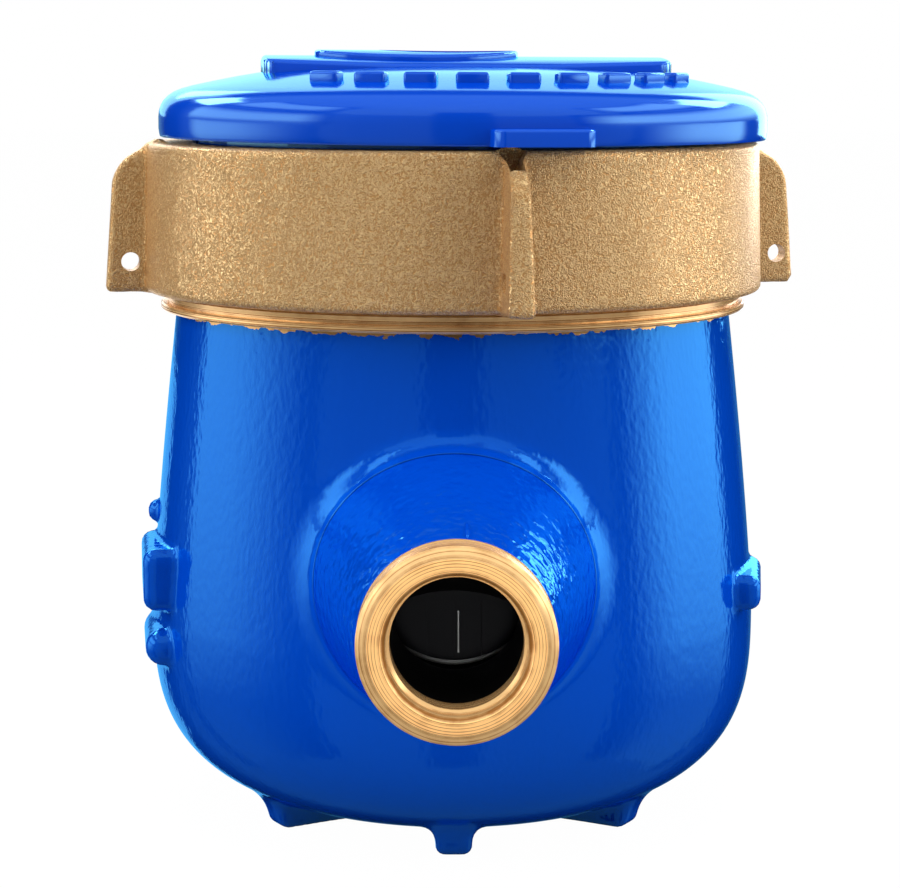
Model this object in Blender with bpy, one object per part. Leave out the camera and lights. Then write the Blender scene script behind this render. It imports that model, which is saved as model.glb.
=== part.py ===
# Multi-jet domestic water meter with a threaded head ring and a hinged lid.
# The body stands on its feet with Z up. The inlet faces -Y and the outlet +Y.
import math

import bmesh
import bpy
from mathutils import Matrix

# Fits between pieces.
GAP = 0.0003
RUNNING_GAP = 0.0005

# Body casting: vessel, neck and collar.
NECK_RADIUS = 0.0438
BELLY_SWELL = 0.0042
BELLY_RADIUS = NECK_RADIUS + BELLY_SWELL
BELLY_LEVEL = 0.0327
BELLY_BOTTOM = 0.0012
BELLY_POWER = 3.0
SHOULDER_STEP = 0.0001
SHOULDER_RADIUS = NECK_RADIUS + SHOULDER_STEP
SHOULDER_LEVEL = 0.0780
SHOULDER_POWER = 1.25
COLLAR_LEVEL = 0.0809
COLLAR_FLANGE_WIDTH = 0.0022
COLLAR_FLANGE_RADIUS = NECK_RADIUS + COLLAR_FLANGE_WIDTH
COLLAR_FLANGE_HEIGHT = 0.0011
COLLAR_GROOVE_WIDTH = 0.0011
COLLAR_GROOVE_RADIUS = NECK_RADIUS + COLLAR_GROOVE_WIDTH
COLLAR_GROOVE_HEIGHT = 0.0005
COLLAR_STEP_WIDTH = 0.0016
COLLAR_STEP_RADIUS = NECK_RADIUS + COLLAR_STEP_WIDTH
COLLAR_STEP_HEIGHT = 0.0010
COLLAR_TOP = COLLAR_LEVEL + COLLAR_FLANGE_HEIGHT + COLLAR_GROOVE_HEIGHT + COLLAR_STEP_HEIGHT
NECK_HEIGHT = 0.0145
NECK_TOP = COLLAR_TOP + NECK_HEIGHT
NECK_WALL = 0.0016
COUNTERBORE_RADIUS = NECK_RADIUS - NECK_WALL
SEAL_SEAT_WIDTH = 0.0027
CAVITY_RADIUS = COUNTERBORE_RADIUS - SEAL_SEAT_WIDTH
CAVITY_FLOOR = 0.0080
CAVITY_CORNER = 0.0120
LEDGE_WIDTH = 0.0021
LEDGE_RADIUS = CAVITY_RADIUS - LEDGE_WIDTH
LEDGE_LEVEL = 0.0440
LEDGE_HEIGHT = 0.0030
COUNTERBORE_DEPTH = 0.0150
COUNTERBORE_LEVEL = NECK_TOP - COUNTERBORE_DEPTH

# Connections.
LENGTH = 0.1700
SPUD_LEVEL = 0.0444
THREAD_RADIUS = 0.0132
THREAD_LENGTH = 0.0052
THREAD_CHAMFER = 0.0011
UNDERCUT = 0.0006
UNDERCUT_LENGTH = 0.0010
NECK_END_RADIUS = 0.0142
CONE_BASE_RADIUS = 0.0205
CONE_SINK = 0.0030
CONE_BASE_REACH = BELLY_RADIUS - CONE_SINK
CONE_BLEND = 0.0160
CONE_RIM_RADIUS = 0.0262
CONE_SKIN_LAP = 0.00012
BORE_RADIUS = 0.0088
BORE_SEAT_RADIUS = 0.0096
BORE_SEAT_DEPTH = 0.0021
BORE_CHAMFER = 0.0006
PORT_LAP = 0.0035
PORT_REACH = CAVITY_RADIUS - PORT_LAP
PORT_HALF_WIDTH = 0.0140
PORT_HALF_HEIGHT = 0.0085
INLET_PORT_LEVEL = 0.0335
OUTLET_PORT_LEVEL = 0.0575

# Feet, pads and flow arrows cast on the body.
FOOT_COUNT = 6
FOOT_WIDTH = 0.0056
FOOT_REACH = 0.0321
FOOT_INNER = 0.0170
FOOT_EDGE = 0.0014
FOOT_FLARE = 0.0043
PAD_PROUD = 0.0018
PAD_ROOT = 0.0015
PAD_EDGE = 0.0009
PAD_HEIGHT = 0.0090
PAD_WIDTH = 0.0190
PAD_LEVEL = 0.0404
PAD_AZIMUTH = 199.0
BAR_HEIGHT = 0.0054
BAR_WIDTH = 0.0230
BAR_LEVEL = 0.0293
BAR_AZIMUTH = 195.0
ARROW_LEVEL = 0.0385
ARROW_AZIMUTH = -9.0
ARROW_WIDTH = 0.0260
ARROW_HEIGHT = 0.0058
BUMP_LEVEL = 0.0479
BUMP_AZIMUTH = 181.0
BUMP_WIDTH = 0.0036
BUMP_PROUD = 0.0011

# Head ring with four sealing lugs. Its lip holds down the shroud's flange.
SHROUD_FLANGE_HEIGHT = 0.0032
WASHER_HEIGHT = 0.0016
RING_WALL = 0.0042
RING_BORE = NECK_RADIUS + GAP
RING_RADIUS = RING_BORE + RING_WALL
RING_BOTTOM = COLLAR_TOP + GAP
RING_LIP_HEIGHT = 0.0030
RING_LIP_LEVEL = NECK_TOP + SHROUD_FLANGE_HEIGHT + WASHER_HEIGHT + 3.0 * GAP
RING_TOP = RING_LIP_LEVEL + RING_LIP_HEIGHT
RING_LIP_WIDTH = 0.0035
RING_LIP_RADIUS = RING_BORE - RING_LIP_WIDTH
RING_EDGE = 0.0009
LUG_COUNT = 4
LUG_TURN = 9.8
LUG_THICKNESS = 0.0039
LUG_TAPER = 0.0013
LUG_PROUD_TOP = 0.0064
LUG_PROUD_BOTTOM = 0.0073
LUG_ROOT = 0.0012
LUG_TOP_DROP = 0.0008
LUG_TOP_SLOPE = 0.0037
LUG_EDGE = 0.0008
LUG_CORNER = 0.0022
LUG_HOLE_RADIUS = 0.00145
LUG_HOLE_PROUD = 0.0025
LUG_HOLE_HEIGHT = 0.0047
NOTCH_WIDTH = 0.0024
NOTCH_DEPTH = 0.0042
NOTCH_MOUTH = 0.0058
NOTCH_MOUTH_DEPTH = 0.0012

# Measuring insert.
STRAINER_CLEARANCE = 0.0007
STRAINER_RADIUS = CAVITY_RADIUS - STRAINER_CLEARANCE
STRAINER_WALL = 0.0013
STRAINER_BOTTOM = 0.0200
STRAINER_BARS = 14
STRAINER_WINDOW = 0.0080
STRAINER_HOOP = 0.0030
CHAMBER_CLEARANCE = 0.0012
CHAMBER_RADIUS = LEDGE_RADIUS - CHAMBER_CLEARANCE
CHAMBER_WALL = 0.0020
CHAMBER_FLANGE_HEIGHT = 0.0022
CHAMBER_TOP = 0.0600
CHAMBER_FLOOR = 0.0150
JET_COUNT = 7
JET_WIDTH = 0.0044
JET_HEIGHT = 0.0060
JET_LEVEL = 0.0250
PORT_LEVEL = 0.0545
JET_TURN = 32.0
PIVOT_RADIUS = 0.0014
PIVOT_HEIGHT = 0.0050
PIVOT_POINT = 0.0010
PIVOT_LAP = 0.0015
IMPELLER_BLADES = 7
IMPELLER_CLEARANCE = 0.0027
IMPELLER_RADIUS = CHAMBER_RADIUS - CHAMBER_WALL - IMPELLER_CLEARANCE
IMPELLER_HEIGHT = 0.0200
IMPELLER_HUB_RADIUS = 0.0050
BLADE_THICKNESS = 0.0012
BLADE_SETBACK = 0.0005
SHAFT_RADIUS = 0.0022
COVER_HEIGHT = 0.0020
SEAL_HEIGHT = 0.0012
PLATE_HEIGHT = 0.0024
SKIRT_WALL = 0.0022
MAGNET_RADIUS = 0.0070
MAGNET_HEIGHT = 0.0055
MAGNET_AIR_GAP = 0.0010
FOLLOWER_RADIUS = 0.0048
FOLLOWER_HEIGHT = 0.0020

# Register.
REGISTER_TURN = 13.0
HOUSING_CLEARANCE = 0.0037
HOUSING_RADIUS = COUNTERBORE_RADIUS - HOUSING_CLEARANCE
HOUSING_WALL = 0.0012
HOUSING_FLOOR = 0.0014
HOUSING_SEAT_WALL = 0.0034
DIAL_DEPTH = 0.0050
DIAL_THICKNESS = 0.0008
LENS_THICKNESS = 0.0028
LENS_BEVEL = 0.0012
LENS_CROWN = 0.0006
LENS_LIP = 0.0014
SHROUD_BORE = HOUSING_RADIUS + GAP
SHROUD_FLANGE_INSET = 0.0002
SHROUD_FLANGE_RADIUS = NECK_RADIUS - SHROUD_FLANGE_INSET
SHROUD_WALL = 0.0014
SHROUD_RISE = 0.0025
SHROUD_TOP = RING_TOP + SHROUD_RISE
WASHER_INSET = 0.0006
WASHER_RADIUS = SHROUD_FLANGE_RADIUS - WASHER_INSET
GEAR_MODULE = 0.00052
PINION_TEETH = 8
WHEEL_A_TEETH = 24
WHEEL_B_TEETH = 24
GEAR_THICKNESS = 0.0011
GEAR_BACKLASH = 0.00022
ARBOR_RADIUS = 0.0006
POINTER_LENGTH = 0.0044
POINTER_WIDTH = 0.0014
POINTER_THICKNESS = 0.0007
POINTER_HUB_RADIUS = 0.0012
STAR_RADIUS = 0.0038
STAR_POINTS = 6
DRUM_COUNT = 5
DRUM_RADIUS = 0.0030
DRUM_WIDTH = 0.0040
DRUM_PITCH = 0.0046
DRUM_ROW = 0.0140
DRUM_DROP = 0.0030
DRUM_SHAFT_RADIUS = 0.0007
POST_WIDTH = 0.0012
POST_THICKNESS = 0.0015
SHAFT_OVERHANG = 0.0030
DIAL_LINE = -35.0
POINTER_STEP = -45.0
POINTER_NAMES = ("pointer_hundreds", "pointer_tens", "pointer_units")

# Hinged lid.
LID_SHIFT = 0.0016
LID_ROLL = 0.35
LID_INSET = 0.0007
LID_RADIUS = RING_RADIUS - LID_INSET
LID_SEAT = 0.0006
LID_BOTTOM = RING_TOP + LID_SEAT
LID_SKIRT_HEIGHT = 0.0039
LID_SKIRT_TOP = LID_BOTTOM + LID_SKIRT_HEIGHT
LID_WALL = 0.0020
LID_CORNER = 0.0014
LID_SHOULDER_INSET = 0.0039
LID_SHOULDER_RADIUS = LID_RADIUS - LID_SHOULDER_INSET
LID_SHOULDER_RISE = 0.0035
LID_SHOULDER_LEVEL = LID_SKIRT_TOP + LID_SHOULDER_RISE
LID_CROWN_INSET = 0.0117
LID_CROWN_RADIUS = LID_SHOULDER_RADIUS - LID_CROWN_INSET
LID_CROWN_RISE = 0.0026
LID_CROWN_LEVEL = LID_SHOULDER_LEVEL + LID_CROWN_RISE
LID_CENTRE_RISE = 0.0011
LID_CENTRE_LEVEL = LID_CROWN_LEVEL + LID_CENTRE_RISE
LID_CROWNING = 0.0004
TAB_WIDTH = 0.0149
TAB_HEIGHT = 0.0025
TAB_REACH = 0.0026
TAB_CORNER = 0.0012
PLATE_TURN = -8.0
PLATE_END_INSET = 0.0161
PLATE_HALF_LENGTH = LID_RADIUS - PLATE_END_INSET
PLATE_FRONT = 0.0150
PLATE_BACK = 0.0080
PLATE_END_SHARE = 0.75
PLATE_CORNER = 0.0026
PLATE_RISE = 0.0015
PLATE_LEVEL = LID_CENTRE_LEVEL + PLATE_RISE
PLATE_CROWN = 0.0013
PLATE_EDGE = 0.0007
BOSS_HALF_LENGTH = 0.0159
BOSS_HALF_DEPTH = 0.0095
BOSS_OFFSET = -0.0075
BOSS_FRONT = 0.0020
BOSS_RISE = 0.0009
BOSS_EDGE = 0.0005
EYE_HALF_LENGTH = 0.0108
EYE_HALF_DEPTH = 0.0060
EYE_OFFSET = 0.0048
EYE_DEPTH = 0.0007
STUD_COUNT = 9
STUD_ROW_INSET = 0.0106
STUD_ROW_RADIUS = LID_RADIUS - STUD_ROW_INSET
STUD_ARC = 92.0
STUD_LENGTH = 0.0048
STUD_WIDTH = 0.0024
STUD_PROUD = 0.0014
STUD_EDGE = 0.0006
HINGE_OVERHANG = 0.0029
HINGE_REACH = LID_RADIUS + HINGE_OVERHANG
HINGE_RISE = 0.0036
HINGE_LEVEL = LID_BOTTOM + HINGE_RISE
KNUCKLE_RADIUS = 0.0025
KNUCKLE_WIDTH = 0.0100
EAR_WIDTH = 0.0030
PIN_RADIUS = 0.0010
ARM_HEIGHT = 0.0019

# Facets of the turned forms.
BODY_SEGMENTS = 48
NOZZLE_SEGMENTS = 26
INNER_SEGMENTS = 24
SHROUD_SEGMENTS = 36
DUCT_SEGMENTS = 20
SMALL_SEGMENTS = 12
ARBOR_SEGMENTS = 8

# How far a cutter runs past the faces that it opens.
CUT_PAST = 0.0010

COLOURS = {
    "blue_paint": ((0.0, 0.06, 0.42), 0.25, 0.0),
    "cast_brass": ((0.62, 0.42, 0.20), 0.45, 1.0),
    "blue_plastic": ((0.0, 0.07, 0.50), 0.3, 0.0),
    "black_plastic": ((0.02, 0.02, 0.022), 0.5, 0.0),
    "white_plastic": ((0.8, 0.8, 0.78), 0.5, 0.0),
    "red_plastic": ((0.6, 0.03, 0.02), 0.4, 0.0),
    "steel": ((0.55, 0.55, 0.56), 0.3, 1.0),
    "rubber": ((0.015, 0.015, 0.015), 0.8, 0.0),
    "glass": ((0.9, 0.95, 0.95), 0.05, 0.0),
    "magnet": ((0.08, 0.08, 0.085), 0.5, 1.0),
}


def clear_scene():
    for old in list(bpy.data.objects):
        bpy.data.objects.remove(old, do_unlink=True)


def material(name):
    found = bpy.data.materials.get(name)
    if found:
        return found
    made = bpy.data.materials.new(name)
    made.use_nodes = True
    shader = made.node_tree.nodes["Principled BSDF"]
    colour, roughness, metallic = COLOURS[name]
    shader.inputs["Base Color"].default_value = (*colour, 1.0)
    shader.inputs["Roughness"].default_value = roughness
    shader.inputs["Metallic"].default_value = metallic
    made.diffuse_color = (*colour, 1.0)
    return made


def piece(name, bm, finish, place=None, parent=None):
    mesh = bpy.data.meshes.new(name)
    bm.to_mesh(mesh)
    bm.free()
    mesh.materials.append(material(finish))
    mesh.shade_smooth()
    mesh.set_sharp_from_angle(angle=math.radians(35))
    made = bpy.data.objects.new(name, mesh)
    bpy.context.collection.objects.link(made)
    made.parent = parent
    if place is not None:
        made.matrix_local = place
    return made


def tool(name, bm, target, operation, place=None, parent=None):
    cutter = piece(name, bm, "steel", place, parent)
    cutter.hide_render = True
    cutter.display_type = "WIRE"
    cut = target.modifiers.new(name, "BOOLEAN")
    cut.operation = operation
    cut.solver = "EXACT"
    cut.object = cutter
    return cutter


def pivot(name, place, parent=None):
    made = bpy.data.objects.new(name, None)
    made.empty_display_size = 0.01
    bpy.context.collection.objects.link(made)
    made.parent = parent
    made.matrix_local = place
    return made


def moved(x=0.0, y=0.0, z=0.0):
    return Matrix.Translation((x, y, z))


def turned(degrees, axis="Z"):
    return Matrix.Rotation(math.radians(degrees), 4, axis)


def lathe(profile, segments):
    """A closed outline of (radius, level) points spun about Z into a solid."""
    bm = bmesh.new()
    verts = [bm.verts.new((radius, 0.0, level)) for radius, level in profile]
    edges = [bm.edges.new((verts[i - 1], verts[i])) for i in range(len(verts))]
    bmesh.ops.spin(bm, geom=verts + edges, axis=(0, 0, 1), cent=(0, 0, 0),
                   angle=math.tau, steps=segments, use_merge=True)
    bmesh.ops.remove_doubles(bm, verts=bm.verts, dist=1e-6)
    loose = [v for v in bm.verts if not v.link_faces]
    bmesh.ops.delete(bm, geom=loose, context="VERTS")
    axis_edges = [e for e in bm.edges if not e.link_faces]
    bmesh.ops.delete(bm, geom=axis_edges, context="EDGES")
    bmesh.ops.recalc_face_normals(bm, faces=bm.faces)
    return bm


def disc(radius, low, high, segments=SMALL_SEGMENTS):
    return lathe([(0.0, low), (radius, low), (radius, high), (0.0, high)], segments)


def tube(outer, inner, low, high, segments=INNER_SEGMENTS):
    return lathe([(inner, low), (outer, low), (outer, high), (inner, high)], segments)


def loft(rings):
    """Closed loops of equal point count skinned in order and capped at both ends."""
    bm = bmesh.new()
    loops = [[bm.verts.new(point) for point in ring] for ring in rings]
    for low, high in zip(loops, loops[1:]):
        for i in range(len(low)):
            bm.faces.new((low[i - 1], low[i], high[i], high[i - 1]))
    bm.faces.new(loops[0])
    bm.faces.new(loops[-1])
    bmesh.ops.recalc_face_normals(bm, faces=bm.faces)
    return bm


def prism(outline, low, high):
    return loft([[(x, y, level) for x, y in outline] for level in (low, high)])


def box(x0, x1, y0, y1, z0, z1):
    return prism([(x0, y0), (x1, y0), (x1, y1), (x0, y1)], z0, z1)


def merged(parts):
    """Several closed shapes as one mesh, for a cutter or for a Boolean union."""
    whole = bmesh.new()
    for part in parts:
        scratch = bpy.data.meshes.new("scratch")
        part.to_mesh(scratch)
        part.free()
        whole.from_mesh(scratch)
        bpy.data.meshes.remove(scratch)
    return whole


def transformed(bm, matrix):
    bmesh.ops.transform(bm, matrix=matrix, verts=bm.verts)
    return bm


def circle_points(radius, count, start=0.0):
    return [(radius * math.cos(start + math.tau * i / count),
             radius * math.sin(start + math.tau * i / count)) for i in range(count)]


def belly_outline(steps):
    points = []
    for i in range(steps):
        angle = math.radians(88.0 - 88.0 * i / steps)
        radius = BELLY_RADIUS * math.cos(angle) ** (2.0 / BELLY_POWER)
        drop = (BELLY_LEVEL - BELLY_BOTTOM) * math.sin(angle) ** (2.0 / BELLY_POWER)
        points.append((radius, BELLY_LEVEL - drop))
    return points


def vessel_radius(level):
    """Outer radius of the painted vessel at a level."""
    if level < BELLY_LEVEL:
        share = min((BELLY_LEVEL - level) / (BELLY_LEVEL - BELLY_BOTTOM), 1.0)
        return BELLY_RADIUS * (1.0 - share ** BELLY_POWER) ** (1.0 / BELLY_POWER)
    share = min((level - BELLY_LEVEL) / (SHOULDER_LEVEL - BELLY_LEVEL), 1.0)
    return BELLY_RADIUS - (BELLY_RADIUS - SHOULDER_RADIUS) * share ** SHOULDER_POWER


def vessel_outline():
    flange_top = COLLAR_LEVEL + COLLAR_FLANGE_HEIGHT
    groove_top = flange_top + COLLAR_GROOVE_HEIGHT
    rise = SHOULDER_LEVEL - BELLY_LEVEL
    side = [BELLY_LEVEL + rise * share for share in (0.0, 0.25, 0.5, 0.75, 1.0)]
    return ([(0.0, BELLY_BOTTOM)] + belly_outline(7)
            + [(vessel_radius(level), level) for level in side]
            + [(SHOULDER_RADIUS, COLLAR_LEVEL), (COLLAR_FLANGE_RADIUS, COLLAR_LEVEL),
               (COLLAR_FLANGE_RADIUS, flange_top), (COLLAR_GROOVE_RADIUS, flange_top),
               (COLLAR_GROOVE_RADIUS, groove_top), (COLLAR_STEP_RADIUS, groove_top),
               (COLLAR_STEP_RADIUS, COLLAR_TOP), (NECK_RADIUS, COLLAR_TOP),
               (NECK_RADIUS, NECK_TOP), (0.0, NECK_TOP)])


def cavity_outline():
    ledge_top = LEDGE_LEVEL + LEDGE_HEIGHT
    above = NECK_TOP + CUT_PAST
    return [(0.0, CAVITY_FLOOR), (CAVITY_RADIUS - CAVITY_CORNER, CAVITY_FLOOR),
            (CAVITY_RADIUS - CAVITY_CORNER * 0.3, CAVITY_FLOOR + CAVITY_CORNER * 0.3),
            (CAVITY_RADIUS, CAVITY_FLOOR + CAVITY_CORNER), (CAVITY_RADIUS, LEDGE_LEVEL),
            (LEDGE_RADIUS, LEDGE_LEVEL), (LEDGE_RADIUS, ledge_top),
            (CAVITY_RADIUS, ledge_top), (CAVITY_RADIUS, COUNTERBORE_LEVEL),
            (COUNTERBORE_RADIUS, COUNTERBORE_LEVEL), (COUNTERBORE_RADIUS, above),
            (0.0, above)]


def spud_ring(radius, reach):
    """A loop about the connections' axis, on the inlet side."""
    return [(x, -reach, SPUD_LEVEL + z) for x, z in circle_points(radius, NOZZLE_SEGMENTS)]


def blend_ring(radius, slope, sink=CONE_SKIN_LAP):
    """A loop on the vessel and the cone together, rounded where they meet."""
    ring = []
    for x, z in circle_points(radius, NOZZLE_SEGMENTS):
        wall = math.sqrt(vessel_radius(SPUD_LEVEL + z) ** 2 - x * x)
        cone = CONE_BASE_REACH + (CONE_BASE_RADIUS - radius) * slope
        overlap = max(CONE_BLEND - abs(wall - cone), 0.0)
        reach = max(wall, cone) + overlap * overlap / (4.0 * CONE_BLEND) - sink
        ring.append((x, -reach, SPUD_LEVEL + z))
    return ring


def nozzle():
    """The inlet's cone and spud, with a cast fillet where it leaves the vessel."""
    face = LENGTH / 2.0
    thread_start = face - THREAD_LENGTH
    neck_end = thread_start - UNDERCUT_LENGTH
    slope = (neck_end - CONE_BASE_REACH) / (CONE_BASE_RADIUS - NECK_END_RADIUS)
    spread = CONE_RIM_RADIUS - CONE_BASE_RADIUS
    rings = [spud_ring(CONE_RIM_RADIUS, CAVITY_RADIUS * 0.75)]
    rings.append(blend_ring(CONE_RIM_RADIUS, slope, CONE_SKIN_LAP * 5.0))
    for share in (0.5, 0.3, 0.14, 0.02):
        rings.append(blend_ring(CONE_BASE_RADIUS + spread * share, slope))
    drop = CONE_BASE_RADIUS - NECK_END_RADIUS
    for share in (0.12, 0.3, 0.65):
        rings.append(blend_ring(CONE_BASE_RADIUS - drop * share, slope))
    rings += [spud_ring(NECK_END_RADIUS, neck_end),
              spud_ring(THREAD_RADIUS - UNDERCUT, neck_end),
              spud_ring(THREAD_RADIUS - UNDERCUT, thread_start),
              spud_ring(THREAD_RADIUS, thread_start),
              spud_ring(THREAD_RADIUS, face - THREAD_CHAMFER),
              spud_ring(THREAD_RADIUS - THREAD_CHAMFER, face)]
    return loft(rings)


def port_ring(reach, level, half_width, half_height):
    return [(half_width * x, -reach, level + half_height * z)
            for x, z in circle_points(1.0, DUCT_SEGMENTS)]


def duct(port_level):
    """The passage from a spud's bore to its port in the cavity wall."""
    face = LENGTH / 2.0
    outside = face + BORE_CHAMFER
    straight_end = (face + PORT_REACH) / 2.0
    rings = [port_ring(outside, SPUD_LEVEL, BORE_SEAT_RADIUS + 2 * BORE_CHAMFER,
                       BORE_SEAT_RADIUS + 2 * BORE_CHAMFER)]
    for reach, radius in ((face - BORE_CHAMFER, BORE_SEAT_RADIUS),
                          (face - BORE_SEAT_DEPTH, BORE_SEAT_RADIUS),
                          (face - BORE_SEAT_DEPTH, BORE_RADIUS),
                          (straight_end, BORE_RADIUS)):
        rings.append(port_ring(reach, SPUD_LEVEL, radius, radius))
    for share in (0.35, 0.7, 1.0):
        eased = share * share * (3.0 - 2.0 * share)
        rings.append(port_ring(straight_end + (PORT_REACH - straight_end) * share,
                               SPUD_LEVEL + (port_level - SPUD_LEVEL) * eased,
                               BORE_RADIUS + (PORT_HALF_WIDTH - BORE_RADIUS) * eased,
                               BORE_RADIUS + (PORT_HALF_HEIGHT - BORE_RADIUS) * eased))
    return loft(rings)


def foot():
    """One rib under the belly, with its sole on the ground."""
    half = FOOT_WIDTH / 2.0
    outline = [(FOOT_INNER, 0.0), (FOOT_REACH - FOOT_EDGE, 0.0), (FOOT_REACH, FOOT_EDGE),
               (FOOT_REACH + FOOT_FLARE, CAVITY_FLOOR), (FOOT_INNER, CAVITY_FLOOR)]
    return loft([[(x, y, z) for x, z in outline] for y in (-half, half)])


def wall_block(azimuth, level, width, height, proud):
    """A rounded pad that follows the vessel's wall, built up through its thickness."""
    count = DUCT_SEGMENTS
    rings = []
    layers = ((-PAD_ROOT, 0.0), (proud * 0.55, 0.0), (proud, PAD_EDGE))
    for out, inset in layers:
        ring = []
        across = width / 2.0 - inset
        up = height / 2.0 - inset
        for i in range(count):
            angle = math.tau * i / count
            x = across * math.copysign(abs(math.cos(angle)) ** 0.4, math.cos(angle))
            z = up * math.copysign(abs(math.sin(angle)) ** 0.4, math.sin(angle))
            radius = vessel_radius(level + z)
            turn = math.radians(azimuth) + x / radius
            ring.append(((radius + out) * math.cos(turn),
                         (radius + out) * math.sin(turn), level + z))
        rings.append(ring)
    return loft(rings)


def meter_body():
    body = piece("meter_body", lathe(vessel_outline(), BODY_SEGMENTS), "blue_paint")
    tool("inlet_nozzle", nozzle(), body, "UNION")
    tool("outlet_nozzle", transformed(nozzle(), turned(180)), body, "UNION")
    feet = merged([transformed(foot(), turned(-90.0 + 360.0 * i / FOOT_COUNT))
                   for i in range(FOOT_COUNT)])
    tool("feet", feet, body, "UNION")
    marks = merged([
        wall_block(PAD_AZIMUTH, PAD_LEVEL, PAD_WIDTH, PAD_HEIGHT, PAD_PROUD),
        wall_block(BAR_AZIMUTH, BAR_LEVEL, BAR_WIDTH, BAR_HEIGHT, PAD_PROUD),
        wall_block(ARROW_AZIMUTH, ARROW_LEVEL, ARROW_WIDTH, ARROW_HEIGHT, PAD_PROUD),
        wall_block(BUMP_AZIMUTH, BUMP_LEVEL, BUMP_WIDTH, BUMP_WIDTH, BUMP_PROUD)])
    tool("cast_marks", marks, body, "UNION")
    tool("cavity", lathe(cavity_outline(), INNER_SEGMENTS), body, "DIFFERENCE")
    tool("inlet_duct", duct(INLET_PORT_LEVEL), body, "DIFFERENCE")
    tool("outlet_duct", transformed(duct(OUTLET_PORT_LEVEL), turned(180)), body, "DIFFERENCE")


def strainer_basket():
    """A ring of bars between two hoops, moulded as one cage under the ledge."""
    top = LEDGE_LEVEL - GAP
    inner = STRAINER_RADIUS - STRAINER_WALL
    half = STRAINER_WINDOW / 2.0
    cage = piece("strainer_basket", tube(STRAINER_RADIUS, inner, STRAINER_BOTTOM, top,
                                      2 * STRAINER_BARS),
                 "black_plastic")
    share = math.tau / STRAINER_BARS
    windows = []
    for i in range(STRAINER_BARS):
        window = box(inner * 0.9, STRAINER_RADIUS * 1.1, -half, half,
                     STRAINER_BOTTOM + STRAINER_HOOP, top - STRAINER_HOOP)
        windows.append(transformed(window, Matrix.Rotation(share * (i + 0.5), 4, "Z")))
    tool("strainer_windows", merged(windows), cage, "DIFFERENCE")


def chamber_seat():
    return LEDGE_LEVEL + LEDGE_HEIGHT + GAP


def measuring_chamber():
    """The cup that holds the impeller, with slanted jets in its wall."""
    seat = chamber_seat()
    flange_top = seat + CHAMBER_FLANGE_HEIGHT
    inner = CHAMBER_RADIUS - CHAMBER_WALL
    rim = CAVITY_RADIUS - GAP
    pivot_hole = PIVOT_RADIUS + GAP
    outline = [(pivot_hole, CHAMBER_FLOOR), (CHAMBER_RADIUS, CHAMBER_FLOOR),
               (CHAMBER_RADIUS, seat), (rim, seat), (rim, flange_top),
               (CHAMBER_RADIUS, flange_top), (CHAMBER_RADIUS, CHAMBER_TOP),
               (inner, CHAMBER_TOP), (inner, CHAMBER_FLOOR + CHAMBER_WALL),
               (pivot_hole, CHAMBER_FLOOR + CHAMBER_WALL)]
    cup = piece("measuring_chamber", lathe(outline, INNER_SEGMENTS), "white_plastic")
    jets = []
    for i in range(JET_COUNT):
        spin = 360.0 * i / JET_COUNT
        for level, lean in ((JET_LEVEL, JET_TURN), (PORT_LEVEL, -JET_TURN)):
            jet = box(-3.0 * CHAMBER_WALL, 3.0 * CHAMBER_WALL, -JET_WIDTH / 2.0, JET_WIDTH / 2.0,
                      level - JET_HEIGHT / 2.0, level + JET_HEIGHT / 2.0)
            place = turned(spin) @ moved(x=CHAMBER_RADIUS - CHAMBER_WALL / 2.0) @ turned(lean)
            jets.append(transformed(jet, place))
    tool("chamber_jets", merged(jets), cup, "DIFFERENCE")


def impeller_bottom():
    return CHAMBER_FLOOR + CHAMBER_WALL + PIVOT_HEIGHT - PIVOT_LAP


def cover_level():
    return CHAMBER_TOP + GAP


def plate_level():
    return COUNTERBORE_LEVEL + GAP + SEAL_HEIGHT + GAP


def drive_magnet_level():
    return plate_level() - MAGNET_AIR_GAP - MAGNET_HEIGHT


def pivot_pin():
    tip = CHAMBER_FLOOR + CHAMBER_WALL + PIVOT_HEIGHT
    foot_radius = PIVOT_RADIUS * 1.8
    floor = CHAMBER_FLOOR - GAP
    low = floor - PIVOT_POINT
    outline = [(0.0, low), (foot_radius, low), (foot_radius, floor),
               (PIVOT_RADIUS, floor), (PIVOT_RADIUS, tip - PIVOT_POINT), (0.0, tip)]
    piece("pivot_pin", lathe(outline, SMALL_SEGMENTS), "steel")


def impeller(spin):
    """A vane wheel on a hollow hub, with its long shaft up to the magnet."""
    bottom = impeller_bottom()
    top = bottom + IMPELLER_HEIGHT
    socket = PIVOT_RADIUS + RUNNING_GAP
    socket_top = bottom + PIVOT_LAP + RUNNING_GAP
    shaft_top = drive_magnet_level() - GAP
    outline = [(socket, bottom), (IMPELLER_HUB_RADIUS, bottom), (IMPELLER_HUB_RADIUS, top),
               (SHAFT_RADIUS, top), (SHAFT_RADIUS, shaft_top), (0.0, shaft_top),
               (0.0, socket_top), (socket, socket_top)]
    wheel = piece("impeller", lathe(outline, SMALL_SEGMENTS), "white_plastic", parent=spin)
    blades = []
    for i in range(IMPELLER_BLADES):
        blade = box(IMPELLER_HUB_RADIUS * 0.8, IMPELLER_RADIUS, -BLADE_THICKNESS / 2.0,
                    BLADE_THICKNESS / 2.0, bottom + BLADE_SETBACK, top - BLADE_SETBACK)
        blades.append(transformed(blade, turned(360.0 * i / IMPELLER_BLADES)))
    tool("blades", merged(blades), wheel, "UNION", parent=spin)


def magnet_ring(name, level, parent):
    ring = disc(MAGNET_RADIUS, level, level + MAGNET_HEIGHT, DUCT_SEGMENTS)
    piece(name, ring, "magnet", parent=parent)


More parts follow.
